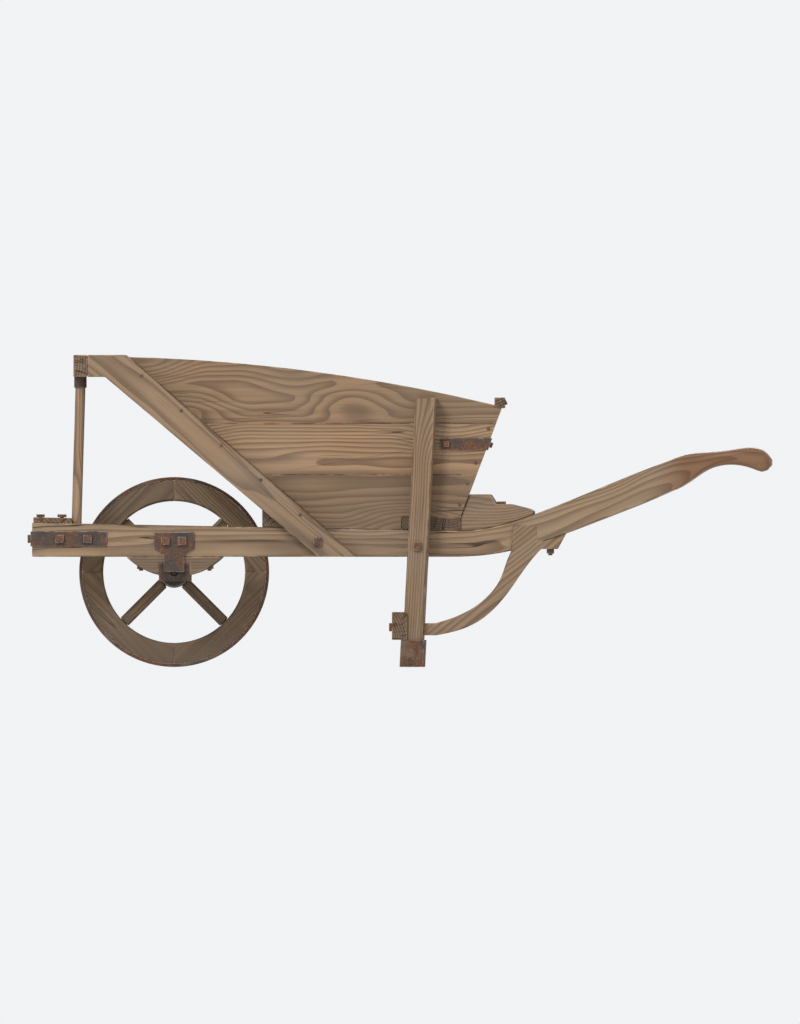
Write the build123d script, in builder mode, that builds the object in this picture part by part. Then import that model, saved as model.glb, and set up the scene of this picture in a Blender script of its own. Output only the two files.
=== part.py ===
from build123d import *
import os
from math import atan2, cos, radians, sin, sqrt, tan

os.makedirs("parts", exist_ok=True)

# The barrow stands on the XY plane, its wheel towards -X and its handles towards +X.
# Left is -Y. Every piece of the left side is modelled, and the right one is its mirror image.

# ---- wheel
wheel_radius = 228
tyre_thickness = 8
tyre_width = 50
felloe_depth = 50
felloe_width = 46
felloe_count = 4
spoke_width = 27
spoke_thickness = 24
tenon_width = 19
tenon_thickness = 14
hub_radius = 38
hub_end_radius = 32
hub_length = 210
hub_mortise = 20
band_thickness = 3
band_width = 18
axle_radius = 10
axle_core = 22
washer_radius = 22
dowel_radius = 6
dowel_length = 40

# ---- shafts
axle_x = -542
axle_drop = 36.5
nose_reach = 113
handle_end_x = 890
shaft_thickness = 50
axle_spacing = 240
grip_spacing = 535
grip_x = 800
nose_depth = 82
top_fall = 0.0198
bend_x = 150
grip_length = 240
grip_width = 38
grip_corner = 16
grip_steps = 20
grip_cap_from = 0.88

# ---- axle carriers
block_half_length = 115
block_depth = 48
block_bolt_inset = 33
box_width = 74
box_height = 44
plate_thickness = 6
plate_head_width = 96
plate_head_height = 38
plate_head_rise = 21
plate_neck_rise = 8
plate_stem_width = 50
plate_bolt_pitch = 40
plate_bolt_rise = 38
strap_thickness = 4
strap_height = 36
strap_length = 180
strap_return = 40
strap_rise = 43
strap_bolt_pitch = 67

# ---- nose and front
nose_bar_width = 41
nose_board_length = 92
nose_board_thickness = 13
stay_setback = 107
stay_radius = 12
stay_tenon = 22
ferrule_thickness = 3
ferrule_height = 30
rail_overhang = 128
rail_width = 34
rail_height = 53
front_rise = 484.5
front_top_x = -656
front_foot_x = -180
front_board_thickness = 23
front_plank_count = 5
strut_head_depth = 72
strut_foot_depth = 60
strut_thickness = 36
strut_bolt_rise = 36
bolster_setback = 41
bolster_height = 70
wheel_clearance = 9

# ---- sides, floor and tail
side_thickness = 22
low_plank_width = 133
middle_plank_width = 123
side_crown = 24
tail_x = 119
tail_rise = 359.5
tail_angle = 20.7
tailboard_thickness = 25
tail_rail = 26
sill_x = 4
sill_thickness = 31
floor_thickness = 18
floor_sink = 2
floor_pitch = 62
floor_bar_depth = 40
floor_bar_width = 60

# ---- legs
leg_x = 32
leg_lean = 2.93
leg_width = 47
leg_thickness = 45
leg_rise = 381.5
leg_bolt_rise = 25
shoe_thickness = 4.5
shoe_height = 65
spreader_notch = 3
spreader_width = 36
spreader_height = 67
spreader_z = 65
brace_thickness = 32
brace_bolt_x = 361
corner_rise = 161
corner_height = 28
corner_reach = 82
corner_return = 115
knee_rise = 126

# ---- fastenings and fits
bolt_radius = 5
head_width = 20
head_height = 7
nut_width = 18
nut_height = 11
nail_radius = 1.8
nail_head_radius = 4.5
running_fit = 0.05
hole_fit = 0.2
seat_gap = 0.15
joint_gap = 0.4

# ---- worked out from the above
# The body is measured up from the underside of the shafts, which stand on the wheel's axle.
# The nose stands `nose_reach` in front of the tyre.
axle_z = wheel_radius
nose_x = axle_x - wheel_radius - nose_reach
shaft_bottom = axle_z + axle_drop
front_height = shaft_bottom + front_rise
tail_height = shaft_bottom + tail_rise
leg_height = shaft_bottom + leg_rise
splay = atan2((grip_spacing - axle_spacing) / 2, grip_x - axle_x)
tyre_inner = wheel_radius - tyre_thickness
felloe_inner = tyre_inner - felloe_depth
hub_half = hub_length / 2
DOWN = (Align.CENTER, Align.CENTER, Align.MAX)
UP = (Align.CENTER, Align.CENTER, Align.MIN)


def half_width(x, out=0):
    """Distance from the middle plane to the upright plane `out` outside the shafts' inner faces."""
    return axle_spacing / 2 + (x - axle_x) * tan(splay) + out / cos(splay)


def shaft_top(x):
    """Height of the straight part of the shafts' top edge."""
    return shaft_bottom + nose_depth - top_fall * (x - nose_x)


def at(x, z):
    """A point on the outer face of the left shaft, from its place along the barrow and its height."""
    return (x / cos(splay), z)


outer_face = Plane(
    origin=(0, -half_width(0, shaft_thickness), 0),
    x_dir=(cos(splay), -sin(splay), 0),
    z_dir=(-sin(splay), -cos(splay), 0),
)


def side_seat(x, z, out):
    """A seat facing outwards on the left side, `out` outside the shaft's outer face."""
    origin = outer_face.from_local_coords((*at(x, z), out))
    return Plane(origin=origin, x_dir=outer_face.x_dir, z_dir=outer_face.z_dir)


def top_seat(x, z, out):
    """A level seat facing up on the left side, `out` outside the shaft's outer face."""
    origin = outer_face.from_local_coords((*at(x, z), out))
    return Plane(origin=origin, x_dir=outer_face.x_dir, z_dir=(0, 0, 1))


def opposite(seat):
    """The matching seat on the right side."""
    origin, across, up = (Vector(v.X, -v.Y, v.Z) for v in (seat.origin, seat.x_dir, seat.z_dir))
    return Plane(origin=origin, x_dir=across, z_dir=up)


def both(seats):
    """Seats on the left side and the matching ones on the right."""
    return [*seats, *(opposite(seat) for seat in seats)]


def bore(seats, depth, radius=bolt_radius):
    """Clearance holes down from the seats, in the piece being made."""
    with Locations(*seats):
        Cylinder(radius + hole_fit, depth, align=DOWN, mode=Mode.SUBTRACT)


def trim_to_sides(out, height):
    """Cut the piece being made to the two splayed planes `out` outside the shafts' inner faces."""
    ends = (nose_x - 50, handle_end_x)
    corners = [(x, side * half_width(x, out)) for side in (-1, 1) for x in ends[::side]]
    with BuildSketch(Plane.XY) as plan:
        Polygon(*corners, align=None)
    extrude(plan.sketch, amount=height, mode=Mode.INTERSECT)


def profile(points):
    """Fill an outline given as (x, z) points, on the sketch's own plane."""
    Polygon(*points, align=None)


def save(node, name):
    """Label a finished piece and write its STEP file."""
    node.part.label = name
    export_step(node.part, f"parts/{name}.step")


def save_pair(left, name):
    """Write a left-hand piece and its mirror image."""
    save(left, f"left_{name}")
    with BuildPart() as right:
        mirror(left.part, about=Plane.XZ)
    save(right, f"right_{name}")


# ---------------------------------------------------------------- lines that pieces share
slope = atan2(front_height - shaft_top(front_foot_x), front_foot_x - front_top_x)
lean = radians(tail_angle)
leg_tilt = tan(radians(leg_lean))
sill_top = shaft_top(sill_x) + sill_thickness
rail_x = front_top_x - rail_overhang
rail_back = rail_x + rail_width
stay_x = nose_x + stay_setback
low_joint = shaft_top(leg_x) + low_plank_width
high_joint = low_joint + middle_plank_width
slope_face = Plane(
    origin=(front_top_x, 0, front_height),
    x_dir=(cos(slope), 0, -sin(slope)),
    z_dir=(sin(slope), 0, cos(slope)),
)


def slope_x(depth, z):
    """Place along the barrow, at height z, of the line `depth` under the front board's inner face."""
    return front_top_x + (front_height - z) / tan(slope) - depth / sin(slope)


def slope_foot(depth):
    """Place along the barrow where that line comes down on the shafts."""
    return slope_x(depth, shaft_top(0)) / (1 - top_fall / tan(slope))


def tail_x_at(z, depth=0):
    """Place along the barrow, at height z, of the plane `depth` behind the tailboard's inner face."""
    return tail_x + (z - sill_top) * tan(lean) + depth / cos(lean)


def leg_x_at(z):
    """Place along the barrow of the leg's centre line at height z."""
    return leg_x + z * leg_tilt


def floor_top(x):
    """Height of the floor boards' upper face."""
    return shaft_top(x) - floor_sink


def between(share):
    """A height between the leg crossbar's underside and the shafts' underside."""
    return spreader_z + share * (shaft_bottom - spreader_z)


sill_end = tail_x_at(sill_top, tailboard_thickness)
tail_back = Plane(
    origin=(sill_end, 0, sill_top),
    x_dir=(0, 1, 0),
    z_dir=(cos(lean), 0, -sin(lean)),
)

# ---------------------------------------------------------------- seats of the fastenings
plate_grip = shaft_thickness + plate_thickness
strap_grip = shaft_thickness + strap_thickness
strut_grip = shaft_thickness + strut_thickness
leg_grip = shaft_thickness + leg_thickness
plate_bolt_z = shaft_bottom + plate_bolt_rise
strap_z = shaft_bottom + strap_rise
strut_bolt_z = shaft_bottom + strut_bolt_rise
leg_bolt_z = shaft_bottom + leg_bolt_rise
hanger_seats = [
    side_seat(axle_x + side * plate_bolt_pitch / 2, plate_bolt_z, plate_thickness) for side in (-1, 1)
]
strap_seats = [side_seat(nose_x + k * strap_bolt_pitch, strap_z, strap_thickness) for k in (1, 2)]
strut_bolt_x = slope_x(strut_foot_depth / 2 + 3, strut_bolt_z)
strut_seats = [side_seat(strut_bolt_x, strut_bolt_z, strut_thickness)]
leg_seats = [side_seat(leg_x_at(leg_bolt_z), leg_bolt_z, leg_thickness)]

block_bolt_reach = block_half_length - block_bolt_inset
block_bolt_top = 66
block_bolt_low = 18.5
block_bolt_grip = block_bolt_top + block_bolt_low
block_bolt_seats = [
    top_seat(axle_x + dx, shaft_bottom + block_bolt_top, -shaft_thickness / 2)
    for dx in (-block_bolt_reach, block_bolt_reach)
]

nose_bolt_inset = 22
nose_bolt_seats = [
    Plane(
        origin=(nose_x - strap_thickness, -half_width(nose_x) + nose_bolt_inset, strap_z),
        x_dir=(0, 1, 0),
        z_dir=(-1, 0, 0),
    )
]
nose_bolt_grip = nose_bar_width + strap_thickness
nose_screw_z = shaft_top(nose_x) + nose_board_thickness
nose_screw_y = 30
nose_screw_seats = [
    Plane(
        origin=(nose_x + nose_bar_width / 2, -nose_screw_y, nose_screw_z),
        x_dir=(1, 0, 0),
        z_dir=(0, 0, 1),
    ),
    top_seat(nose_x + 3 / 4 * nose_board_length, nose_screw_z, -shaft_thickness / 2),
]
nose_screw_length = 45

brace_y = (
    half_width(leg_x, shaft_thickness + leg_thickness / 2)
    + half_width(brace_bolt_x, shaft_thickness / 2)
) / 2
brace_bolt_top = 103
brace_bolt_low = 18.5
brace_bolt_grip = brace_bolt_top - brace_bolt_low
brace_seats = [
    Plane(
        origin=(brace_bolt_x, -brace_y, shaft_bottom + brace_bolt_top),
        x_dir=(1, 0, 0),
        z_dir=(0, 0, 1),
    )
]
knee_screw_reach = 95
knee_seats = [top_seat(sill_end + knee_screw_reach, shaft_bottom + knee_rise, -shaft_thickness / 2)]
knee_screw_length = 98
spreader_middle = spreader_z + spreader_height / 2
spreader_x = leg_x_at(spreader_middle) - leg_width / 2 + spreader_notch - spreader_width
brace_foot_top = spreader_z + 40
brace_foot_low = spreader_z + 11
spreader_seats = [
    Plane(
        origin=(spreader_x, -brace_y, spreader_middle - 3),
        x_dir=(0, 1, 0),
        z_dir=(-1, 0, 0),
    )
]
spreader_screw_length = 112
corner_z = sill_top + corner_rise
corner_middle = corner_z + corner_height / 2
corner_x = tail_x_at(corner_z) - corner_reach
corner_seats = [side_seat(corner_x + corner_height / 2, corner_middle, strap_thickness)]
corner_grip = side_thickness + strap_thickness
corner_back_seats = [
    tail_back.shift_origin(
        tail_back.from_local_coords(
            (-half_width(sill_end, -25), (corner_middle - sill_top) / cos(lean), 0)
        )
    ).offset(strap_thickness)
]
corner_back_grip = tailboard_thickness + strap_thickness
tail_rail_z = tail_height - 3
tail_rail_x = tail_x_at(tail_rail_z) + 9
# The rail's screws slant down through it into the side boards, from pockets cut in its back.
rail_screw_slant = radians(25)
rail_pocket = 3
rail_screw_seats = [
    Plane(
        origin=(
            tail_rail_x + tail_rail - rail_pocket,
            -half_width(tail_rail_x, shaft_thickness - side_thickness / 2),
            tail_rail_z + tail_rail / 2,
        ),
        x_dir=(0, 1, 0),
        z_dir=(cos(rail_screw_slant), 0, sin(rail_screw_slant)),
    )
]
rail_screw_length = tail_rail + 34
rail_screw_radius = 3
small_head_width = 13

plank_width = (front_height - shaft_top(slope_foot(0))) / sin(slope) / front_plank_count
plank_middles = [(k + 0.5) * plank_width for k in range(front_plank_count)]
strut_nail_seats = [
    side_seat(
        front_top_x + s * cos(slope) - front_board_thickness / 2 * sin(slope),
        front_height - s * sin(slope) - front_board_thickness / 2 * cos(slope),
        strut_thickness,
    )
    for s in plank_middles
]
strut_nail_length = strut_thickness + 35
leg_nail_heights = (low_joint - 60, high_joint - 60, high_joint + 27)
leg_nail_seats = [
    Plane(
        origin=outer_face.from_local_coords((*at(leg_x_at(z) + dx, z), -side_thickness)),
        x_dir=outer_face.x_dir,
        z_dir=-outer_face.z_dir,
    )
    for z in leg_nail_heights
    for dx in (-11, 11)
]
leg_nail_length = side_thickness + 30
tail_nail_seats = [
    side_seat(tail_x_at(sill_top + rise, tailboard_thickness / 2), sill_top + rise, 0)
    for rise in (30, 80, 130, 212)
]
tail_nail_length = side_thickness + 35
floor_bar_xs = (front_foot_x + 40, sill_end - 41)
floor_nail_seats = [
    Plane(origin=(x, y, floor_top(x) + seat_gap), x_dir=(1, 0, 0), z_dir=(0, 0, 1))
    for x in floor_bar_xs
    for y in (-2 * floor_pitch, -floor_pitch, 0, floor_pitch, 2 * floor_pitch)
]
floor_nail_length = floor_thickness + 25


def tenon_block(x, z, width, height, out, fit=0):
    """A tenon running across the barrow to the planes `out`, or with a fit, the mortise for it."""
    with BuildPart() as block:
        with BuildSketch(Plane.XZ):
            with Locations((x, z)):
                Rectangle(width + 2 * fit, height + 2 * fit)
        extrude(amount=grip_spacing, both=True)
        trim_to_sides(out + fit, 3 * front_height)
    return block.part


floor_tenon_out = 24
floor_tenon_width = 44
floor_tenon_height = 18
nose_tenon_width = 37
nose_tenon_height = 17
nose_tenon_x = nose_x + nose_bar_width - nose_tenon_width / 2
nose_tenon_z = strap_z - 6


def floor_bar_z(x):
    """Height of the middle of a floor crossbar."""
    return floor_top(x) - floor_thickness - floor_bar_depth / 2


# ---------------------------------------------------------------- shafts
# The straight front part is a plank on edge; the tail of it rises in a long curve to the grip,
# whose sections go from square to round and swell at the end.
# Both lines are (place from the grip's start, height above the shafts' underside).
grip_start_x = handle_end_x - grip_length
grip_top = Spline((0, 232), (50, 248), (130, 255), (200, 262), (grip_length, 242))
grip_low = Spline((0, 158), (50, 184), (95, 212), (150, 221), (198, 210), (222, 203), (grip_length, 211))


def ease(t):
    """A smooth step from 0 at t = 0 to 1 at t = 1."""
    t = min(max(t, 0), 1)
    return t * t * (3 - 2 * t)


def grip_section(t):
    """The plane, width, height and corner radius of the grip's section at a share t of its length."""
    high, low = grip_top @ t, grip_low @ t
    top, bottom = (
        outer_face.from_local_coords(
            (*at(grip_start_x + p.X, shaft_bottom + p.Y), -shaft_thickness / 2)
        )
        for p in (high, low)
    )
    rounding = sqrt(1 - 0.8 * (max(t - grip_cap_from, 0) / (1 - grip_cap_from)) ** 2)
    width = (shaft_thickness - (shaft_thickness - grip_width) * ease(3 * t)) * rounding
    height = (top - bottom).length * rounding
    corner = min(3 + (grip_corner - 3) * ease(3 * t), 0.46 * width, 0.46 * height)
    across = outer_face.z_dir
    plane = Plane(origin=(top + bottom) / 2, x_dir=across, z_dir=across.cross(top - bottom))
    return plane, width, height, corner


with BuildPart() as left_shaft:
    with BuildSketch(outer_face):
        with BuildLine():
            upper = Spline(
                at(bend_x, shaft_top(bend_x)),
                at(320, shaft_bottom + 101),
                at(497, shaft_bottom + 172),
                at(grip_start_x, shaft_bottom + (grip_top @ 0).Y),
                tangents=[(1, 0.04), (1, 0.35)],
            )
            lower = Spline(
                at(grip_start_x, shaft_bottom + (grip_low @ 0).Y),
                at(512, shaft_bottom + 101),
                at(272, shaft_bottom + 17),
                at(bend_x - 30, shaft_bottom),
                tangents=[(-1, -0.46), (-1, 0)],
            )
            Line(upper @ 1, lower @ 0)
            Polyline(
                lower @ 1,
                at(nose_x - 10, shaft_bottom),
                at(nose_x - 10, shaft_top(nose_x - 10)),
                upper @ 0,
            )
        make_face()
    extrude(amount=-shaft_thickness)
    split(bisect_by=Plane.YZ.offset(nose_x), keep=Keep.TOP)
    for k in range(grip_steps + 1):
        plane, width, height, corner = grip_section(k / grip_steps)
        with BuildSketch(plane):
            RectangleRounded(width, height, corner)
    loft(ruled=True)
    bore(hanger_seats, plate_grip)
    bore(strap_seats, strap_grip)
    bore(strut_seats, strut_grip)
    bore(leg_seats, leg_grip)
    bore(block_bolt_seats, block_bolt_grip)
    bore(nose_screw_seats, nose_screw_length)
    bore(brace_seats, brace_bolt_grip)
    bore(knee_seats, knee_screw_length)
    with Locations(*block_bolt_seats, *brace_seats):
        Cylinder(12, 40, align=UP, mode=Mode.SUBTRACT)
    with Locations((stay_x, -half_width(stay_x, shaft_thickness / 2), shaft_top(stay_x))):
        Cylinder(stay_radius + hole_fit, 2 * (stay_tenon + 1), mode=Mode.SUBTRACT)
    add(
        tenon_block(
            nose_tenon_x, nose_tenon_z, nose_tenon_width, nose_tenon_height, shaft_thickness, hole_fit
        ),
        mode=Mode.SUBTRACT,
    )
    for x in floor_bar_xs:
        add(
            tenon_block(
                x, floor_bar_z(x), floor_tenon_width, floor_tenon_height, floor_tenon_out, hole_fit
            ),
            mode=Mode.SUBTRACT,
        )
save_pair(left_shaft, "shaft")

# ---------------------------------------------------------------- axle carriers
with BuildPart() as left_axle_block:
    with BuildSketch(outer_face):
        with BuildLine():
            chord = Line(
                at(axle_x - block_half_length, shaft_bottom), at(axle_x + block_half_length, shaft_bottom)
            )
            ThreePointArc(chord @ 1, at(axle_x, shaft_bottom - block_depth), chord @ 0)
        make_face()
        with Locations(at(axle_x, axle_z + box_height / 2)):
            Rectangle(box_width, block_depth * 2, align=(Align.CENTER, Align.MAX), mode=Mode.SUBTRACT)
    extrude(amount=-shaft_thickness)
    bore(block_bolt_seats, block_bolt_grip)
    with Locations(*(seat.offset(-block_bolt_grip) for seat in block_bolt_seats)):
        Cylinder(15, block_depth, align=DOWN, mode=Mode.SUBTRACT)
save_pair(left_axle_block, "axle_block")

with BuildPart() as left_bearing_box:
    with BuildSketch(outer_face):
        with Locations(at(axle_x, axle_z)):
            Rectangle(box_width, box_height)
    extrude(amount=-shaft_thickness)
    with Locations(Plane(origin=(axle_x, 0, axle_z), z_dir=(0, 1, 0))):
        Cylinder(axle_radius + running_fit, 3 * axle_spacing, mode=Mode.SUBTRACT)
save_pair(left_bearing_box, "bearing_box")

with BuildPart() as left_hanger_plate:
    with BuildSketch(outer_face):
        head_low = shaft_bottom + plate_head_rise
        neck = shaft_bottom + plate_neck_rise
        half_outline = (
            (plate_head_width / 2, head_low + plate_head_height),
            (plate_head_width / 2, head_low),
            (plate_stem_width / 2, neck),
            (plate_stem_width / 2, axle_z),
        )
        front = [at(axle_x - across, z) for across, z in half_outline[::-1]]
        back = [at(axle_x + across, z) for across, z in half_outline]
        profile(front + back)
    extrude(amount=plate_thickness)
    bore(hanger_seats, plate_grip)
save_pair(left_hanger_plate, "hanger_plate")

# ---------------------------------------------------------------- nose
with BuildPart() as nose_bar_body:
    with BuildSketch(Plane.XZ):
        profile(
            [
                (nose_x, shaft_bottom),
                (nose_x + nose_bar_width, shaft_bottom),
                (nose_x + nose_bar_width, shaft_top(nose_x + nose_bar_width)),
                (nose_x, shaft_top(nose_x)),
            ]
        )
    extrude(amount=axle_spacing, both=True)
    trim_to_sides(0, 2 * front_height)

with BuildPart() as nose_crossbar:
    add(nose_bar_body.part)
    add(tenon_block(nose_tenon_x, nose_tenon_z, nose_tenon_width, nose_tenon_height, shaft_thickness))
    bore(both(nose_bolt_seats), nose_bolt_grip)
    bore(both(nose_screw_seats), nose_screw_length)
save(nose_crossbar, "nose_crossbar")

with BuildPart() as left_nose_strap:
    with BuildSketch(Plane.XY.offset(strap_z - strap_height / 2)):
        face_out = shaft_thickness + strap_thickness
        back = nose_x + strap_length
        profile(
            [
                (nose_x, -half_width(nose_x, shaft_thickness)),
                (back, -half_width(back, shaft_thickness)),
                (back, -half_width(back, face_out)),
                (nose_x - strap_thickness, -half_width(nose_x - strap_thickness, face_out)),
                (nose_x - strap_thickness, -half_width(nose_x) + strap_return),
                (nose_x, -half_width(nose_x) + strap_return),
            ]
        )
    extrude(amount=strap_height)
    bore(strap_seats, strap_grip)
    bore(nose_bolt_seats, nose_bolt_grip)
save_pair(left_nose_strap, "nose_strap")

with BuildPart() as nose_board:
    with BuildSketch(Plane.XZ):
        near, far = nose_x + 3, nose_x + 3 + nose_board_length
        profile(
            [
                (near, shaft_top(near) + seat_gap),
                (far, shaft_top(far) + seat_gap),
                (far, shaft_top(far) + nose_board_thickness),
                (near, shaft_top(near) + nose_board_thickness),
            ]
        )
    extrude(amount=axle_spacing, both=True)
    trim_to_sides(shaft_thickness, 2 * front_height)
    bore(both(nose_screw_seats), nose_screw_length)
save(nose_board, "nose_board")

# ---------------------------------------------------------------- front
with BuildPart() as head_rail:
    with BuildSketch(Plane.XZ):
        with Locations((rail_x, front_height)):
            Rectangle(rail_width, rail_height, align=(Align.MIN, Align.MAX))
    extrude(amount=grip_spacing, both=True)
    trim_to_sides(shaft_thickness + strut_thickness, 2 * front_height)
    stay_y = half_width(stay_x, shaft_thickness / 2)
    rail_middle = rail_x + rail_width / 2
    with Locations((rail_middle, -stay_y, 0), (rail_middle, stay_y, 0)):
        Cylinder(
            stay_radius + hole_fit, front_height - rail_height + stay_tenon, align=UP, mode=Mode.SUBTRACT
        )
save(head_rail, "head_rail")

stay_foot = Vector(stay_x, -stay_y, shaft_top(stay_x) - stay_tenon)
stay_head = Vector(rail_middle, -stay_y, front_height - rail_height + stay_tenon - 1)
stay_knuckle = Vector(rail_middle, -stay_y, front_height - rail_height - ferrule_height)
stay_ankle = Vector(stay_x, -stay_y, shaft_top(stay_x) + 10)
with BuildPart() as left_front_stay:
    with BuildLine():
        FilletPolyline(stay_foot, stay_ankle, stay_knuckle, stay_head, radius=60)
    with BuildSketch(Plane(origin=stay_foot, z_dir=(0, 0, 1))):
        Circle(stay_radius)
    sweep()
save_pair(left_front_stay, "front_stay")

with BuildPart() as stay_ferrules:
    with Locations(both([Plane(origin=stay_knuckle + Vector(0, 0, 4), z_dir=(0, 0, 1))])):
        Cylinder(stay_radius + ferrule_thickness, ferrule_height - 4, align=UP)
        Cylinder(stay_radius + hole_fit, ferrule_height - 4, align=UP, mode=Mode.SUBTRACT)
save(stay_ferrules, "stay_ferrules")

with BuildPart() as left_front_strut:
    with BuildSketch(outer_face):
        profile(
            [
                at(rail_back - 20, front_height),
                at(front_top_x, front_height),
                at(slope_x(0, shaft_bottom), shaft_bottom),
                at(slope_x(strut_foot_depth, shaft_bottom), shaft_bottom),
                at(slope_x(strut_head_depth, front_height - rail_height), front_height - rail_height),
                at(rail_back - 20, front_height - rail_height),
            ]
        )
    extrude(amount=strut_thickness)
    split(bisect_by=Plane.YZ.offset(rail_back), keep=Keep.TOP)
    bore(strut_seats, strut_grip)
    bore(strut_nail_seats, strut_nail_length, nail_radius)
save_pair(left_front_strut, "front_strut")

with BuildPart() as front_board:
    with BuildSketch(Plane.XZ):
        profile(
            [
                (front_top_x, front_height),
                (slope_foot(0), shaft_top(slope_foot(0)) + seat_gap),
                (
                    slope_foot(front_board_thickness),
                    shaft_top(slope_foot(front_board_thickness)) + seat_gap,
                ),
                (slope_x(front_board_thickness, front_height), front_height),
            ]
        )
    extrude(amount=grip_spacing, both=True)
    trim_to_sides(shaft_thickness, 2 * front_height)
    with BuildSketch(slope_face):
        with Locations(*((k * plank_width, 0) for k in range(1, front_plank_count))):
            Rectangle(joint_gap, 2 * grip_spacing)
    extrude(amount=2 * front_board_thickness, both=True, mode=Mode.SUBTRACT)
    bore(both(strut_nail_seats), strut_nail_length, nail_radius)
save(front_board, "front_board")

bolster_back_x = slope_foot(front_board_thickness) - bolster_setback
bolster_low = shaft_top(bolster_back_x - bolster_height)
bolster_front_x = axle_x + sqrt((wheel_radius + wheel_clearance) ** 2 - (bolster_low - axle_z) ** 2)
bolster_top = bolster_low + bolster_height
with BuildPart() as front_bolster:
    with BuildSketch(Plane.XZ):
        profile(
            [
                (bolster_front_x, shaft_top(bolster_front_x) + seat_gap),
                (bolster_back_x, shaft_top(bolster_back_x) + seat_gap),
                (bolster_back_x, bolster_top),
                (bolster_front_x, bolster_top),
            ]
        )
    extrude(amount=grip_spacing, both=True)
    split(bisect_by=slope_face.offset(-front_board_thickness - seat_gap), keep=Keep.BOTTOM)
    trim_to_sides(shaft_thickness, 2 * front_height)
save(front_bolster, "front_bolster")

# ---------------------------------------------------------------- floor
with BuildPart() as floor_boards:
    with BuildSketch(Plane.XZ):
        near = floor_bar_xs[0] - floor_bar_width
        profile(
            [
                (near, floor_top(near)),
                (sill_end, floor_top(sill_end)),
                (sill_end, floor_top(sill_end) - floor_thickness),
                (near, floor_top(near) - floor_thickness),
            ]
        )
    extrude(amount=grip_spacing, both=True)
    trim_to_sides(-seat_gap, 2 * front_height)
    with BuildSketch(Plane.XY):
        with Locations(*((0, y * floor_pitch) for y in (-1.5, -0.5, 0.5, 1.5))):
            Rectangle(2 * handle_end_x, joint_gap)
    extrude(amount=2 * front_height, mode=Mode.SUBTRACT)
    bore(floor_nail_seats, floor_nail_length, nail_radius)
save(floor_boards, "floor_boards")

with BuildPart() as floor_bar_bodies:
    with BuildSketch(Plane.XZ):
        for x in floor_bar_xs:
            profile(
                [
                    (end, floor_top(end) - floor_thickness - drop)
                    for end, drop in (
                        (x - floor_bar_width / 2, 0),
                        (x + floor_bar_width / 2, 0),
                        (x + floor_bar_width / 2, floor_bar_depth),
                        (x - floor_bar_width / 2, floor_bar_depth),
                    )
                ]
            )
    extrude(amount=grip_spacing, both=True)
    trim_to_sides(0, 2 * front_height)

with BuildPart() as floor_crossbars:
    add(floor_bar_bodies.part)
    for x in floor_bar_xs:
        add(tenon_block(x, floor_bar_z(x), floor_tenon_width, floor_tenon_height, floor_tenon_out))
    bore(floor_nail_seats, floor_nail_length, nail_radius)
save(floor_crossbars, "floor_crossbars")

with BuildPart() as rear_sill:
    with BuildSketch(Plane.XZ):
        profile(
            [
                (sill_x, shaft_top(sill_x) + seat_gap),
                (sill_end, shaft_top(sill_end) + seat_gap),
                (sill_end, sill_top),
                (sill_x, sill_top),
            ]
        )
    extrude(amount=grip_spacing, both=True)
    trim_to_sides(shaft_thickness, 2 * front_height)
save(rear_sill, "rear_sill")

# ---------------------------------------------------------------- tail
with BuildPart() as tailboard_rail:
    with BuildSketch(Plane.XZ):
        with Locations((tail_rail_x, tail_rail_z)):
            Rectangle(tail_rail, tail_rail, align=(Align.MIN, Align.MIN))
    extrude(amount=grip_spacing, both=True)
    trim_to_sides(shaft_thickness, 2 * front_height)
    bore(both(rail_screw_seats), rail_screw_length, rail_screw_radius)
    with Locations(*both(rail_screw_seats)):
        Box(
            small_head_width + 2 * hole_fit,
            small_head_width + 2 * hole_fit,
            tail_rail,
            align=UP,
            mode=Mode.SUBTRACT,
        )
save(tailboard_rail, "tailboard_rail")

tail_joint = (tail_rail_z + sill_top) / 2 + 8
with BuildPart() as tailboard:
    with BuildSketch(Plane.XZ):
        profile(
            [
                (tail_x_at(sill_top), sill_top),
                (sill_end, sill_top),
                (tail_x_at(tail_rail_z, tailboard_thickness), tail_rail_z),
                (tail_x_at(tail_rail_z), tail_rail_z),
            ]
        )
    extrude(amount=grip_spacing, both=True)
    trim_to_sides(shaft_thickness - side_thickness, 2 * front_height)
    with BuildSketch(tail_back):
        with Locations((0, (tail_joint - sill_top) / cos(lean))):
            Rectangle(2 * grip_spacing, joint_gap)
    extrude(amount=2 * tailboard_thickness, both=True, mode=Mode.SUBTRACT)
    bore(both(tail_nail_seats), tail_nail_length, nail_radius)
    bore(both(corner_back_seats), corner_back_grip, rail_screw_radius)
save(tailboard, "tailboard")

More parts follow.
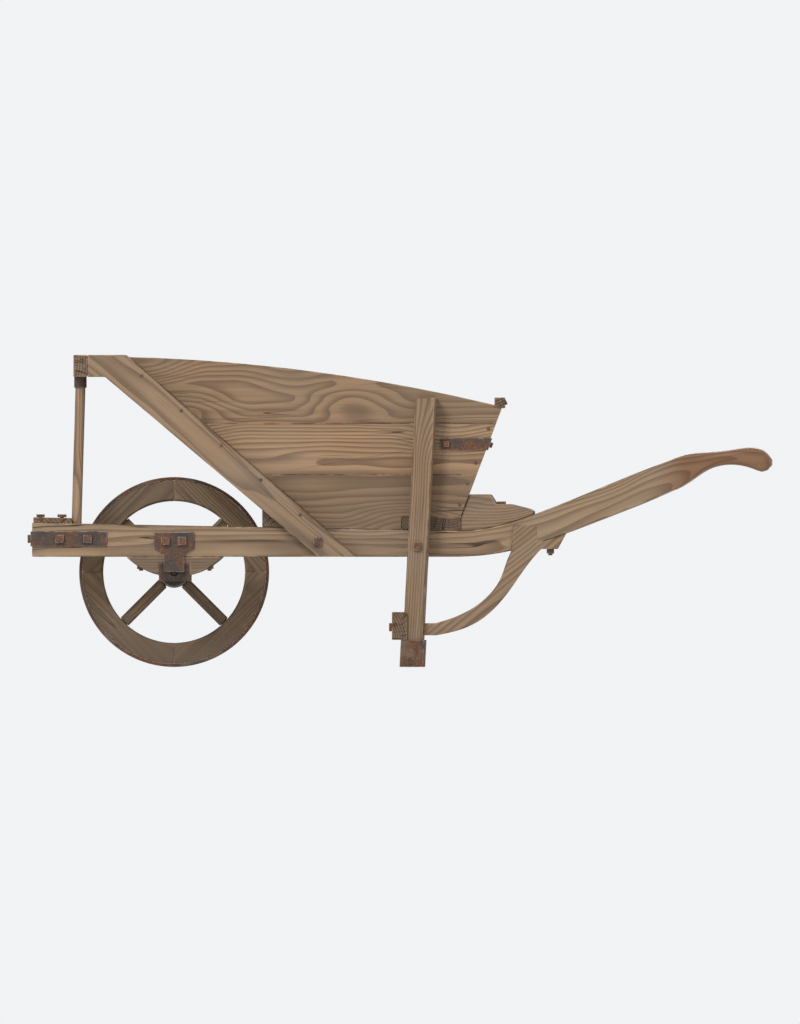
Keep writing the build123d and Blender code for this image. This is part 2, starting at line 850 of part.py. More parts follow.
with BuildPart() as left_side_boards:
    with BuildSketch(outer_face):
        with BuildLine():
            front_edge = Line(
                at(slope_foot(0), shaft_top(slope_foot(0)) + seat_gap),
                at(slope_x(0, front_height - 5), front_height - 5),
            )
            tail_corner = at(tail_x_at(tail_height, tailboard_thickness), tail_height)
            crown = (front_edge @ 1 + Vector(tail_corner)) / 2 + Vector(0, side_crown)
            ThreePointArc(front_edge @ 1, crown, tail_corner)
            Polyline(
                tail_corner,
                at(sill_end + 20, sill_top),
                at(sill_x, sill_top),
                at(sill_x, shaft_top(sill_x) + seat_gap),
                front_edge @ 0,
            )
        make_face()
    extrude(amount=-side_thickness)
    add(rear_sill.part, mode=Mode.SUBTRACT)
    split(bisect_by=tail_back, keep=Keep.BOTTOM)
    with BuildSketch(outer_face):
        with Locations(at(0, low_joint), at(0, high_joint)):
            Rectangle(4 * front_height, joint_gap)
    extrude(amount=-2 * side_thickness, mode=Mode.SUBTRACT)
    with Locations((tail_rail_x - seat_gap, 0, tail_rail_z - seat_gap)):
        Box(
            3 * tail_rail,
            2 * grip_spacing,
            3 * tail_rail,
            align=(Align.MIN, Align.CENTER, Align.MIN),
            mode=Mode.SUBTRACT,
        )
    bore(leg_nail_seats, leg_nail_length, nail_radius)
    bore(tail_nail_seats, tail_nail_length, nail_radius)
    bore(corner_seats, corner_grip, rail_screw_radius)
    bore(rail_screw_seats, rail_screw_length, rail_screw_radius)
save_pair(left_side_boards, "side_boards")

with BuildPart() as left_corner_strap:
    corner_top = corner_z + corner_height
    with BuildSketch(outer_face):
        profile(
            [
                at(corner_x, corner_z),
                at(tail_x_at(corner_z, tailboard_thickness + strap_thickness), corner_z),
                at(tail_x_at(corner_top, tailboard_thickness + strap_thickness), corner_top),
                at(corner_x, corner_top),
            ]
        )
    extrude(amount=strap_thickness)
    with BuildSketch(tail_back):
        outer_end = half_width(
            tail_x_at(corner_z, tailboard_thickness), shaft_thickness + strap_thickness / 2
        )
        with Locations((-outer_end, (corner_z - sill_top) / cos(lean))):
            Rectangle(corner_return, corner_height / cos(lean), align=(Align.MIN, Align.MIN))
    extrude(amount=strap_thickness)
    bore(corner_seats, corner_grip, rail_screw_radius)
    bore(corner_back_seats, corner_back_grip, rail_screw_radius)
save_pair(left_corner_strap, "corner_strap")

with BuildPart() as left_tail_knee:
    with BuildSketch(outer_face.offset(-5)):
        profile(
            [
                at(sill_x, shaft_top(sill_x) - 20),
                at(sill_x, shaft_bottom + knee_rise + 24),
                at(sill_end + 70, shaft_bottom + knee_rise + 24),
                at(sill_end + 85, shaft_bottom + knee_rise),
                at(sill_end + 120, shaft_bottom + knee_rise),
                at(sill_end + 160, shaft_bottom + knee_rise - 10),
                at(sill_end + 174, shaft_bottom + knee_rise - 16),
                at(sill_end + 174, shaft_bottom + knee_rise - 66),
            ]
        )
    extrude(amount=10 - shaft_thickness)
    split(bisect_by=tail_back, keep=Keep.TOP)
    add(left_shaft.part, mode=Mode.SUBTRACT)
    add(rear_sill.part, mode=Mode.SUBTRACT)
    bore(knee_seats, knee_screw_length)
save_pair(left_tail_knee, "tail_knee")

# ---------------------------------------------------------------- legs
with BuildPart() as left_leg:
    with BuildSketch(outer_face):
        half = leg_width / 2
        profile(
            [
                at(leg_x_at(shoe_thickness) - half, shoe_thickness),
                at(leg_x_at(shoe_thickness) + half, shoe_thickness),
                at(leg_x_at(leg_height) + half, leg_height),
                at(leg_x_at(leg_height) - half, leg_height),
            ]
        )
    extrude(amount=leg_thickness)
    bore(leg_seats, leg_grip)
    bore(leg_nail_seats, leg_nail_length, nail_radius)
    bore(spreader_seats, spreader_screw_length)
save_pair(left_leg, "leg")

with BuildPart() as left_leg_shoe:
    with BuildSketch(outer_face.offset(-shoe_thickness)):
        half = leg_width / 2 + shoe_thickness
        profile(
            [
                at(leg_x_at(0) - half, 0),
                at(leg_x_at(0) + half, 0),
                at(leg_x_at(shoe_height) + half, shoe_height),
                at(leg_x_at(shoe_height) - half, shoe_height),
            ]
        )
    extrude(amount=leg_thickness + 2 * shoe_thickness)
    with BuildSketch(outer_face.offset(-hole_fit)):
        half = leg_width / 2 + hole_fit
        profile(
            [
                at(leg_x_at(shoe_thickness) - half, shoe_thickness),
                at(leg_x_at(shoe_thickness) + half, shoe_thickness),
                at(leg_x_at(shoe_height + 5) + half, shoe_height + 5),
                at(leg_x_at(shoe_height + 5) - half, shoe_height + 5),
            ]
        )
    extrude(amount=leg_thickness + 2 * hole_fit, mode=Mode.SUBTRACT)
save_pair(left_leg_shoe, "leg_shoe")

with BuildPart() as leg_crossbar:
    with BuildSketch(Plane.XZ):
        with Locations((spreader_x, spreader_z)):
            Rectangle(spreader_width, spreader_height, align=(Align.MIN, Align.MIN))
    extrude(amount=grip_spacing, both=True)
    trim_to_sides(shaft_thickness + leg_thickness + 8, 2 * front_height)
    add(left_leg.part, mode=Mode.SUBTRACT)
    add(mirror(left_leg.part, about=Plane.XZ, mode=Mode.PRIVATE), mode=Mode.SUBTRACT)
    bore(both(spreader_seats), spreader_screw_length)
save(leg_crossbar, "leg_crossbar")

with BuildPart() as left_leg_brace:
    with BuildSketch(Plane.XZ.offset(brace_y - brace_thickness / 2)):
        with BuildLine():
            foot_end = leg_x + 53
            foot_top = Line((leg_x, brace_foot_top), (foot_end, brace_foot_top))
            upper = Spline(
                foot_top @ 1,
                (brace_bolt_x - 165, between(0.46)),
                (brace_bolt_x - 125, between(0.69)),
                (brace_bolt_x - 95, shaft_bottom + 12),
                tangents=[(1, 0.25), (0.5, 1)],
            )
            foot_low = Line((leg_x, brace_foot_low), (foot_end, brace_foot_low))
            under = Spline(
                foot_low @ 1,
                (brace_bolt_x - 165, between(0.25)),
                (brace_bolt_x - 105, between(0.55)),
                (brace_bolt_x - 22, shaft_bottom + brace_bolt_low),
                tangents=[(1, 0.15), (1, 1)],
            )
            Line(foot_top @ 0, foot_low @ 0)
            Polyline(
                upper @ 1,
                (brace_bolt_x - 89, shaft_bottom + 75),
                (brace_bolt_x + 49, shaft_bottom + 75),
                (brace_bolt_x + 18, shaft_bottom + brace_bolt_low),
                under @ 1,
            )
        make_face()
    extrude(amount=brace_thickness)
    add(left_leg.part, mode=Mode.SUBTRACT)
    add(left_shaft.part, mode=Mode.SUBTRACT)
    bore(brace_seats, brace_bolt_grip)
    bore(spreader_seats, spreader_screw_length)
save_pair(left_leg_brace, "leg_brace")

# ---------------------------------------------------------------- wheel
# Everything here lies about the axle, in the wheel's own upright plane.
step = 360 / felloe_count
journal_end = half_width(axle_x, shaft_thickness) - 6


def around_wheel(angle, out=0):
    """An upright plane `out` left of the middle whose x axis leaves the axle at this angle."""
    turn = radians(angle)
    return Plane(origin=(axle_x, -out, axle_z), x_dir=(cos(turn), 0, sin(turn)), z_dir=(0, -1, 0))


with BuildPart() as hub:
    with BuildSketch(Plane(origin=(axle_x, 0, axle_z), x_dir=(1, 0, 0), z_dir=(0, 0, 1))):
        with BuildLine():
            shoulder = hub_half - band_width - 32
            right_seat = Line((hub_end_radius, hub_half), (hub_end_radius, hub_half - band_width))
            crest = Line((hub_radius, shoulder), (hub_radius, -shoulder))
            left_seat = Line((hub_end_radius, band_width - hub_half), (hub_end_radius, -hub_half))
            Spline(right_seat @ 1, crest @ 0, tangents=[(0.2, -1), (0, -1)])
            Spline(crest @ 1, left_seat @ 0, tangents=[(0, -1), (-0.2, -1)])
            Polyline(left_seat @ 1, (0, -hub_half), (0, hub_half), right_seat @ 0)
        make_face()
    revolve(axis=Axis((axle_x, 0, axle_z), (0, 1, 0)))
    with Locations((axle_x, 0, axle_z)):
        Box(axle_core, hub_length, axle_core, mode=Mode.SUBTRACT)
    for k in range(felloe_count):
        with BuildSketch(around_wheel((k + 0.5) * step, -tenon_thickness / 2 - hole_fit)):
            with Locations((hub_radius - hub_mortise, 0)):
                Rectangle(
                    2 * hub_mortise, tenon_width + 2 * hole_fit, align=(Align.MIN, Align.CENTER)
                )
        extrude(amount=tenon_thickness + 2 * hole_fit, mode=Mode.SUBTRACT)
save(hub, "hub")

with BuildPart() as hub_bands:
    for out in (hub_half - band_width, -hub_half):
        with BuildSketch(around_wheel(0, out)):
            Circle(hub_end_radius + band_thickness)
            Circle(hub_end_radius + seat_gap, mode=Mode.SUBTRACT)
        extrude(amount=band_width)
save(hub_bands, "hub_bands")

with BuildPart() as axle:
    with Locations(Plane(origin=(axle_x, 0, axle_z), x_dir=(1, 0, 0), z_dir=(0, 0, 1))):
        Box(axle_core - 2 * seat_gap, hub_length, axle_core - 2 * seat_gap)
    with Locations(around_wheel(0)):
        Cylinder(axle_radius, 2 * journal_end)
    chamfer(axle.edges().filter_by(GeomType.CIRCLE).group_by(Axis.Y)[0], 1.5)
    chamfer(axle.edges().filter_by(GeomType.CIRCLE).group_by(Axis.Y)[-1], 1.5)
save(axle, "axle")

box_near = half_width(axle_x - box_width / 2 - 6)
with BuildPart() as axle_washers:
    for out in (hub_half + seat_gap, 1 - box_near):
        with BuildSketch(around_wheel(0, out)):
            Circle(washer_radius)
            Circle(axle_radius + hole_fit, mode=Mode.SUBTRACT)
        extrude(amount=box_near - hub_half - 1 - seat_gap)
save(axle_washers, "axle_washers")

# The spoke's shoulders stop clear of the hub's barrel and of the felloe's hollow inner face.
shoulder_length = felloe_inner - hub_radius - 2
tenon_root = hub_radius - hub_mortise + hole_fit
for k in range(felloe_count):
    angle = (k + 0.5) * step
    with BuildPart() as spoke:
        with BuildSketch(around_wheel(angle, -tenon_thickness / 2)):
            with Locations((tenon_root, 0)):
                Rectangle(tyre_inner - 2 - tenon_root, tenon_width, align=(Align.MIN, Align.CENTER))
        extrude(amount=tenon_thickness)
        with BuildSketch(around_wheel(angle, -spoke_thickness / 2)):
            with Locations((hub_radius + 0.5, 0)):
                Rectangle(shoulder_length, spoke_width, align=(Align.MIN, Align.CENTER))
        extrude(amount=spoke_thickness)
        chamfer(spoke.edges().filter_by(lambda e: abs(e.length - shoulder_length) < 0.5), 4)
    save(spoke, f"spoke_{k + 1}")

dowel_places = [
    Plane(
        origin=around_wheel(k * step).from_local_coords((tyre_inner - felloe_depth / 2, 0, 0)),
        x_dir=(0, 1, 0),
        z_dir=around_wheel(k * step).y_dir,
    )
    for k in range(felloe_count)
]
for k in range(felloe_count):
    with BuildPart() as felloe:
        with BuildSketch(around_wheel(k * step, -felloe_width / 2)):
            Circle(tyre_inner - seat_gap)
            Circle(felloe_inner, mode=Mode.SUBTRACT)
            with Locations((0, joint_gap / 2)):
                Rectangle(
                    wheel_radius, wheel_radius, align=(Align.MIN, Align.MIN), mode=Mode.INTERSECT
                )
            with Locations((joint_gap / 2, 0)):
                Rectangle(
                    wheel_radius, wheel_radius, align=(Align.MIN, Align.MIN), mode=Mode.INTERSECT
                )
        extrude(amount=felloe_width)
        inner_edges = felloe.edges().filter_by(GeomType.CIRCLE).filter_by(
            lambda e: abs(e.radius - felloe_inner) < 1
        )
        chamfer(inner_edges, 4)
        with BuildSketch(around_wheel((k + 0.5) * step, -tenon_thickness / 2 - hole_fit)):
            with Locations((felloe_inner - 5, 0)):
                Rectangle(
                    felloe_depth + 10, tenon_width + 2 * hole_fit, align=(Align.MIN, Align.CENTER)
                )
        extrude(amount=tenon_thickness + 2 * hole_fit, mode=Mode.SUBTRACT)
        with Locations(*dowel_places):
            Cylinder(dowel_radius + hole_fit, dowel_length + 2, mode=Mode.SUBTRACT)
    save(felloe, f"felloe_{k + 1}")

with BuildPart() as felloe_dowels:
    with Locations(*dowel_places):
        Cylinder(dowel_radius, dowel_length)
save(felloe_dowels, "felloe_dowels")

with BuildPart() as tyre:
    with BuildSketch(around_wheel(0, -tyre_width / 2)):
        Circle(wheel_radius)
        Circle(tyre_inner, mode=Mode.SUBTRACT)
    extrude(amount=tyre_width)
    rims = tyre.edges().filter_by(GeomType.CIRCLE).filter_by(lambda e: e.radius > tyre_inner + 1)
    fillet(rims, 2)
save(tyre, "tyre")


# ---------------------------------------------------------------- fastenings
def nuts(seats, grip):
    """Square nuts at the far end of each bolt, with a hole for its thread."""
    with Locations(*(seat.offset(-grip) for seat in seats)):
        Box(nut_width, nut_width, nut_height, align=DOWN)
        Cylinder(bolt_radius + hole_fit / 2, nut_height, align=DOWN, mode=Mode.SUBTRACT)


def square_bolts(seats, grip):
    """Square-headed bolts and their nuts."""
    nuts(seats, grip)
    with Locations(*seats):
        Box(head_width, head_width, head_height, align=UP)
        Cylinder(bolt_radius, grip + nut_height + 4, align=DOWN)


def round_bolts(seats, grip):
    """Bolts with a flat round head that lies in a counterbore, and their nuts."""
    nuts(seats, grip)
    with Locations(*seats):
        Cylinder(11, 6, align=UP)
        Cylinder(bolt_radius, grip + nut_height + 4, align=DOWN)


def coach_screws(seats, length, radius=bolt_radius, head=head_width):
    """Square-headed screws with a pointed end."""
    point = 2 * radius
    with Locations(*seats):
        Box(head, head, head_height, align=UP)
        Cylinder(radius, length - point, align=DOWN)
    with Locations(*(seat.offset(point - length) for seat in seats)):
        Cone(0.5, radius, point - 1, align=DOWN)


with BuildPart() as plate_bolts:
    square_bolts(both(hanger_seats), plate_grip)
    square_bolts(both(strap_seats), strap_grip)
save(plate_bolts, "plate_bolts")

with BuildPart() as nose_bolts:
    square_bolts(both(nose_bolt_seats), nose_bolt_grip)
save(nose_bolts, "nose_bolts")

with BuildPart() as side_bolts:
    square_bolts(both(strut_seats), strut_grip)
    square_bolts(both(leg_seats), leg_grip)
save(side_bolts, "side_bolts")

with BuildPart() as round_head_bolts:
    round_bolts(both(block_bolt_seats), block_bolt_grip)
    round_bolts(both(brace_seats), brace_bolt_grip)
save(round_head_bolts, "round_head_bolts")

with BuildPart() as large_coach_screws:
    coach_screws(both(nose_screw_seats), nose_screw_length)
    coach_screws(both(knee_seats), knee_screw_length)
    coach_screws(both(spreader_seats), spreader_screw_length)
save(large_coach_screws, "coach_screws")

with BuildPart() as small_screws:
    coach_screws(both(rail_screw_seats), rail_screw_length, rail_screw_radius, small_head_width)
    coach_screws(both(corner_seats), corner_grip, rail_screw_radius, small_head_width)
    coach_screws(both(corner_back_seats), corner_back_grip, rail_screw_radius, small_head_width)
save(small_screws, "small_screws")

with BuildPart() as nails:
    for seats, length in (
        (both(strut_nail_seats), strut_nail_length),
        (both(leg_nail_seats), leg_nail_length),
        (both(tail_nail_seats), tail_nail_length),
        (floor_nail_seats, floor_nail_length),
    ):
        with Locations(*seats):
            Cylinder(nail_head_radius, 1.5, align=UP)
            Cylinder(nail_radius, length - 1, align=DOWN)
save(nails, "nails")
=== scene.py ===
"""The wooden wheelbarrow's looks: worn timber, forged iron and a road-worn tyre around its frame."""

import logging
import math
import zlib
from collections.abc import Callable, Iterator
from contextlib import contextmanager
from dataclasses import dataclass, field, replace
from enum import Enum

import bpy
import numpy as np
from mathutils import Matrix, Quaternion, Vector, noise

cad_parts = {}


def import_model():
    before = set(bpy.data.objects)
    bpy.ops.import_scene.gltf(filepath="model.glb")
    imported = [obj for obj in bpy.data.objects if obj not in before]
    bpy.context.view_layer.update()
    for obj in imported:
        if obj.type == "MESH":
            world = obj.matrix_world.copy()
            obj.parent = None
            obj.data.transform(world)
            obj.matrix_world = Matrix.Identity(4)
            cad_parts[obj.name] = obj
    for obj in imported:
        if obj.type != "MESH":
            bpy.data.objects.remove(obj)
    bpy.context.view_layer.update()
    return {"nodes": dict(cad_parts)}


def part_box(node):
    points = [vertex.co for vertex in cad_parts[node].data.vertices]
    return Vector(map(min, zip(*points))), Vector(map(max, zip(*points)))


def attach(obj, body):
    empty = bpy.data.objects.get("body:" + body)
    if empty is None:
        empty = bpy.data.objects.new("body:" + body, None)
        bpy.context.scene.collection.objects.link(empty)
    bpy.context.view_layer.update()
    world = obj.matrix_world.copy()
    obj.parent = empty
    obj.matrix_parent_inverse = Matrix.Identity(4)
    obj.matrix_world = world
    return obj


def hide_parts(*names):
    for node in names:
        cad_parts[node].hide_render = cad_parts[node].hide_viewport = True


log = logging.getLogger("wheelbarrow")

MILLI = 0.001

Colour = tuple[float, float, float]
Triple = tuple[float, float, float]

CRACK_BLACK: Colour = (0.018, 0.013, 0.010)
SOIL_BROWN: Colour = (0.105, 0.075, 0.050)
DRY_MUD: Colour = (0.135, 0.100, 0.068)
HAND_POLISH: tuple[Colour, Colour] = ((0.19, 0.092, 0.042), (0.080, 0.036, 0.017))
GREASED_WOOD: Colour = (0.022, 0.017, 0.013)
GREASED_IRON: Colour = (0.020, 0.016, 0.013)
RUBBED_IRON: Colour = (0.36, 0.34, 0.315)


def shade_of(colour: Colour, share: float) -> Colour:
    """A darker or lighter shade of a colour: each of its parts times a share, up to 1."""
    return tuple(min(1.0, share * part) for part in colour)


class Body(Enum):
    """The frame's bodies."""

    BARROW = "barrow"
    WHEEL = "wheel"


class Slot(Enum):
    """The record's material slots."""

    FRAME_WOOD = "frame_wood"
    BOARD_WOOD = "board_wood"
    WHEEL_WOOD = "wheel_wood"
    FORGED_IRON = "forged_iron"
    TYRE_IRON = "tyre_iron"


class GrainRun(Enum):
    """Which way the grain of a timber runs."""

    LONGEST = "along the piece's longest direction"
    LEVEL = "along the level line in the piece's own plane"
    AXLE = "along the axle, about a pith on the axle's line"


# ------------------------------------------------------------------------------ shader arithmetic
@dataclass(frozen=True)
class Signal:
    """A number that varies over a surface. Arithmetic on it adds Math nodes to its material."""

    painter: "Painter"
    socket: bpy.types.NodeSocket

    def _math(self, operation: str, *values: "Signal | float") -> "Signal":
        """Adds one Math node.

        Args:
            operation: The node's operation.
            values: Its inputs in order.

        Returns:
            The node's result.
        """
        node = self.painter.node(
            "ShaderNodeMath", {"operation": operation}, dict(enumerate(values))
        )
        return Signal(self.painter, node.outputs[0])

    def __add__(self, other: "Signal | float") -> "Signal":
        """The sum of two values."""
        return self._math("ADD", self, other)

    def __radd__(self, other: float) -> "Signal":
        """The sum of a number and this value."""
        return self._math("ADD", other, self)

    def __sub__(self, other: "Signal | float") -> "Signal":
        """This value less another."""
        return self._math("SUBTRACT", self, other)

    def __rsub__(self, other: float) -> "Signal":
        """A number less this value."""
        return self._math("SUBTRACT", other, self)

    def __mul__(self, other: "Signal | float") -> "Signal":
        """The product of two values."""
        return self._math("MULTIPLY", self, other)

    def __rmul__(self, other: float) -> "Signal":
        """A number times this value."""
        return self._math("MULTIPLY", other, self)

    def __truediv__(self, other: "Signal | float") -> "Signal":
        """This value divided by another."""
        return self._math("DIVIDE", self, other)

    def absolute(self) -> "Signal":
        """The value without its sign."""
        return self._math("ABSOLUTE", self)

    def fraction(self) -> "Signal":
        """The part of the value after the point."""
        return self._math("FRACT", self)

    def root(self) -> "Signal":
        """The square root of the value."""
        return self._math("SQRT", self)

    def bearing(self, other: "Signal") -> "Signal":
        """The angle, in radians, of the point that lies `other` across and this value up."""
        return self._math("ARCTAN2", self, other)

    def step(self, low: float, high: float) -> "Signal":
        """Rises smoothly from 0 where the value is `low` to 1 where it is `high`.

        Args:
            low: The value that gives 0.
            high: The value that gives 1, which may be the smaller one.

        Returns:
            The mask.
        """
        node = self.painter.node(
            "ShaderNodeMapRange",
            {"interpolation_type": "SMOOTHSTEP"},
            {"Value": self, "From Min": min(low, high), "From Max": max(low, high)},
        )
        mask = Signal(self.painter, node.outputs["Result"])
        return mask if high > low else 1 - mask


class Painter:
    """Builds the nodes of one material."""

    def __init__(self, name: str) -> None:
        """Starts an empty material.

        Args:
            name: The material's name.
        """
        self.material = bpy.data.materials.new(name)
        self.material.use_nodes = True
        self.tree = self.material.node_tree
        self.tree.nodes.clear()

    def node(self, kind: str, settings: dict[str, object], inputs: dict) -> bpy.types.Node:
        """Adds a node, sets it up, and then fills or links its sockets.

        Args:
            kind: The node's type.
            settings: Values of the node's own properties.
            inputs: Socket name or number to a Signal, a socket or a constant.

        Returns:
            The new node.
        """
        made = self.tree.nodes.new(kind)
        for name, value in settings.items():
            setattr(made, name, value)
        for key, value in inputs.items():
            socket = made.inputs[key]
            if isinstance(value, Signal):
                self.tree.links.new(value.socket, socket)
            elif isinstance(value, bpy.types.NodeSocket):
                self.tree.links.new(value, socket)
            elif isinstance(value, tuple) and socket.type == "RGBA":
                socket.default_value = (*value, 1.0)
            else:
                socket.default_value = value
        return made

    def place(self) -> bpy.types.NodeSocket:
        """The point in the frame's own coordinates."""
        return self.node("ShaderNodeTexCoord", {}, {}).outputs["Object"]

    def attribute(self, name: str) -> bpy.types.Node:
        """The node that reads one of the piece's own attributes."""
        return self.node("ShaderNodeAttribute", {"attribute_name": name}, {})

    def parts(self, vector: bpy.types.NodeSocket) -> tuple[Signal, Signal, Signal]:
        """The three numbers of a vector."""
        node = self.node("ShaderNodeSeparateXYZ", {}, {"Vector": vector})
        return tuple(Signal(self, output) for output in node.outputs)

    def join(self, x: Signal | float, y: Signal | float, z: Signal | float) -> bpy.types.NodeSocket:
        """The vector of three numbers."""
        return self.node("ShaderNodeCombineXYZ", {}, {0: x, 1: y, 2: z}).outputs["Vector"]

    def facing_up(self) -> Signal:
        """How far the surface faces up, from -1 to 1."""
        normal = self.node("ShaderNodeNewGeometry", {}, {}).outputs["Normal"]
        return self.parts(normal)[2]

    def reach_from_axle(self) -> Signal:
        """Distance in metres from the axle's line."""
        low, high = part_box("axle")
        centre = (low + high) / 2
        x, _, z = self.parts(self.place())
        dx = x - centre.x
        dz = z - centre.z
        return (dx * dx + dz * dz).root()

    def stretch(self, vector: bpy.types.NodeSocket, factors: Triple) -> bpy.types.NodeSocket:
        """The vector times a factor along each axis."""
        return self.node(
            "ShaderNodeVectorMath", {"operation": "MULTIPLY"}, {0: vector, 1: factors}
        ).outputs["Vector"]

    def noise(
        self, vector: bpy.types.NodeSocket, scale: float, detail: float = 3, rough: float = 0.55
    ) -> Signal:
        """A cloudy noise between 0 and 1.

        Args:
            vector: Where the noise is read.
            scale: Its features in one metre.
            detail: How many finer layers it has.
            rough: How strong the finer layers are.

        Returns:
            The noise's value.
        """
        node = self.node(
            "ShaderNodeTexNoise",
            {},
            {"Vector": vector, "Scale": scale, "Detail": detail, "Roughness": rough},
        )
        return Signal(self, node.outputs[0])

    def cells(self, vector: bpy.types.NodeSocket, scale: float) -> Signal:
        """The distance to the nearest of many scattered points, in cell widths."""
        node = self.node("ShaderNodeTexVoronoi", {}, {"Vector": vector, "Scale": scale})
        return Signal(self, node.outputs["Distance"])

    def mix(self, share: Signal, low: object, high: object) -> bpy.types.NodeSocket:
        """Mixes two colours.

        Args:
            share: 0 gives the first colour and 1 the second.
            low: The first colour, constant or socket.
            high: The second colour, constant or socket.

        Returns:
            The mixed colour.
        """
        node = self.node(
            "ShaderNodeMix",
            {"data_type": "RGBA", "clamp_factor": True},
            {0: share},
        )
        for socket, value in ((node.inputs[6], low), (node.inputs[7], high)):
            if isinstance(value, tuple):
                socket.default_value = (*value, 1.0)
            else:
                self.tree.links.new(value, socket)
        return node.outputs[2]

    def finish(
        self,
        colour: bpy.types.NodeSocket,
        roughness: Signal,
        height: Signal,
        relief: float,
        metallic: Signal | None = None,
        specular: float = 0.35,
    ) -> bpy.types.Material:
        """Joins the results to the surface shader.

        Args:
            colour: Base colour.
            roughness: Roughness.
            height: Relief, from 0 to 1.
            relief: How high, in metres, a height of 1 stands.
            metallic: Share of bare metal.
            specular: Specular level of the bare surface.

        Returns:
            The finished material.
        """
        bump = self.node(
            "ShaderNodeBump", {}, {"Height": height, "Distance": relief, "Strength": 1.0}
        )
        inputs = {
            "Base Color": colour,
            "Roughness": roughness,
            "Specular IOR Level": specular,
            "Normal": bump.outputs["Normal"],
        }
        if metallic is not None:
            inputs["Metallic"] = metallic
        shader = self.node("ShaderNodeBsdfPrincipled", {}, inputs)
        output = self.node("ShaderNodeOutputMaterial", {}, {})
        self.tree.links.new(shader.outputs[0], output.inputs[0])
        return self.material


# ------------------------------------------------------------------------------ finishes
@dataclass(frozen=True)
class TimberFinish:
    """Old open-air timber: growth rings, fibres, checks, knots, grey weathering and soil.

    Attributes:
        name: The material's name.
        early: Colour of the pale part of each growth ring, and `late` of the dark part.
        weathered: Colour that open air turns it to, and `greying` how far it has.
        ring: Width of a growth ring.
        figure: How strongly the rings show, and `knots` how strongly the knots do.
        plank_contrast: How much the planks differ.
        soil_top: Height to which mud has splashed.
        settled_soil: How much soil lies on what faces up.
        handled_from: Place along the barrow past which hands have polished it.
        greased: Distance from the axle to which grease has spread.
    """

    name: str
    early: Colour
    late: Colour
    weathered: Colour
    ring: float = 6 * MILLI
    figure: float = 0.9
    greying: float = 0.5
    knots: float = 1.0
    plank_contrast: float = 0.42
    soil_top: float = 0.16
    settled_soil: float = 0.0
    handled_from: float | None = None
    greased: float = 0.0

    def make(self) -> bpy.types.Material:
        """Builds the material."""
        paint = Painter(self.name)
        grain = paint.attribute("grain").outputs["Vector"]
        tint = Signal(paint, paint.attribute("tint").outputs["Fac"])
        edge = Signal(paint, paint.attribute("edge").outputs["Fac"])
        end = Signal(paint, paint.attribute("end").outputs["Fac"])
        place = paint.place()
        x, _, z = paint.parts(place)
        _, across, through = paint.parts(grain)

        # Growth rings about the pith, drawn aside by knots, with fibres and cracks along them.
        knot = paint.cells(paint.stretch(grain, (1.0, 2.6, 2.6)), 2.3)
        knot_core = knot.step(0.10, 0.045) * self.knots
        knot_swirl = knot.step(0.42, 0.0) * self.knots
        drift = paint.noise(paint.stretch(grain, (1.6, 9, 9)), 1.0, 2)
        radius = (across * across + through * through).root()
        phase = radius / self.ring + drift * 5 + knot_swirl * 5
        ring = phase.fraction()
        late = ring.step(0.25, 0.95) * ring.step(1.0, 0.93)
        fibre = paint.noise(paint.stretch(grain, (5, 260, 260)), 1.0, 4, 0.7)
        streak = paint.noise(paint.stretch(grain, (1.1, 60, 60)), 1.0, 3)
        check = self.checks(paint, grain, radius, through.bearing(across), end)

        # The wood's own colour, the grey of the weather, and each plank's own shade.
        blotch = paint.noise(place, 5.5, 4)
        dark = shade_of(self.late, 0.4)
        wood = paint.mix(late * self.figure * (streak * 0.9 + 0.55), self.early, self.late)
        wood = paint.mix(streak.step(0.38, 0.72) * 0.45, wood, self.late)
        wood = paint.mix(fibre.step(0.50, 0.80) * 0.6, wood, dark)
        wood = paint.mix(knot_core * 0.85, wood, dark)
        grey = (blotch * 1.1 + tint * 0.35 + fibre * 0.5 - 0.55 + self.greying * 0.6).step(0.15, 0.95)
        wood = paint.mix(grey * self.greying, wood, self.weathered)
        wood = paint.mix(tint.step(0.0, 1.0) * self.plank_contrast, wood, dark)
        wood = paint.mix(end * (0.35 + 0.4 * late), wood, dark)

        # Rubbed edges, grime on the eased edges that is also painted shade in the seams between
        # planks, cracks, and soil low down and on what faces up.
        rubbing = paint.noise(place, 21, 3)
        worn = edge * rubbing.step(0.44, 0.66)
        wood = paint.mix(worn * 0.5, wood, shade_of(self.early, 1.4))
        # Darker where the eased edges are least rubbed: grime on the arrises, and painted shade in
        # the V-seams between planks.
        edge_grime_and_seam_shade = edge * rubbing.step(0.56, 0.30)
        wood = paint.mix(edge_grime_and_seam_shade * 0.5, wood, dark)
        wood = paint.mix(check * 0.9, wood, CRACK_BLACK)
        soil_noise = paint.noise(place, 19, 4)
        soil = (soil_noise * 0.9 - z / self.soil_top + 0.35).step(0.2, 0.65) * 0.75
        if self.settled_soil:
            lying = paint.facing_up().step(0.3, 0.9) * (soil_noise + blotch - 0.45).step(0.2, 0.75)
            soil = soil + lying * self.settled_soil
        wood = paint.mix(soil, wood, SOIL_BROWN)
        roughness = 0.62 + 0.16 * fibre + 0.12 * soil - worn * 0.12

        if self.handled_from is not None:
            hand = (x + (blotch - 0.5) * 0.06).step(self.handled_from, self.handled_from + 0.09)
            polish = paint.mix(late * 0.5 + streak * 0.5, *HAND_POLISH)
            wood = paint.mix(hand * 0.82, wood, polish)
            roughness = roughness - hand * 0.34
        if self.greased:
            grease = (paint.reach_from_axle() + (blotch - 0.5) * 0.03).step(
                self.greased, self.greased * 0.55
            )
            wood = paint.mix(grease * 0.7, wood, GREASED_WOOD)
            roughness = roughness - grease * 0.25

        height = 0.5 + fibre * 0.22 + late * 0.16 - check * 0.9 - knot_core * 0.12 + soil * 0.3
        height = height + paint.noise(place, 26, 2) * 0.35
        return paint.finish(wood, roughness, height, 0.9 * MILLI, specular=0.28)

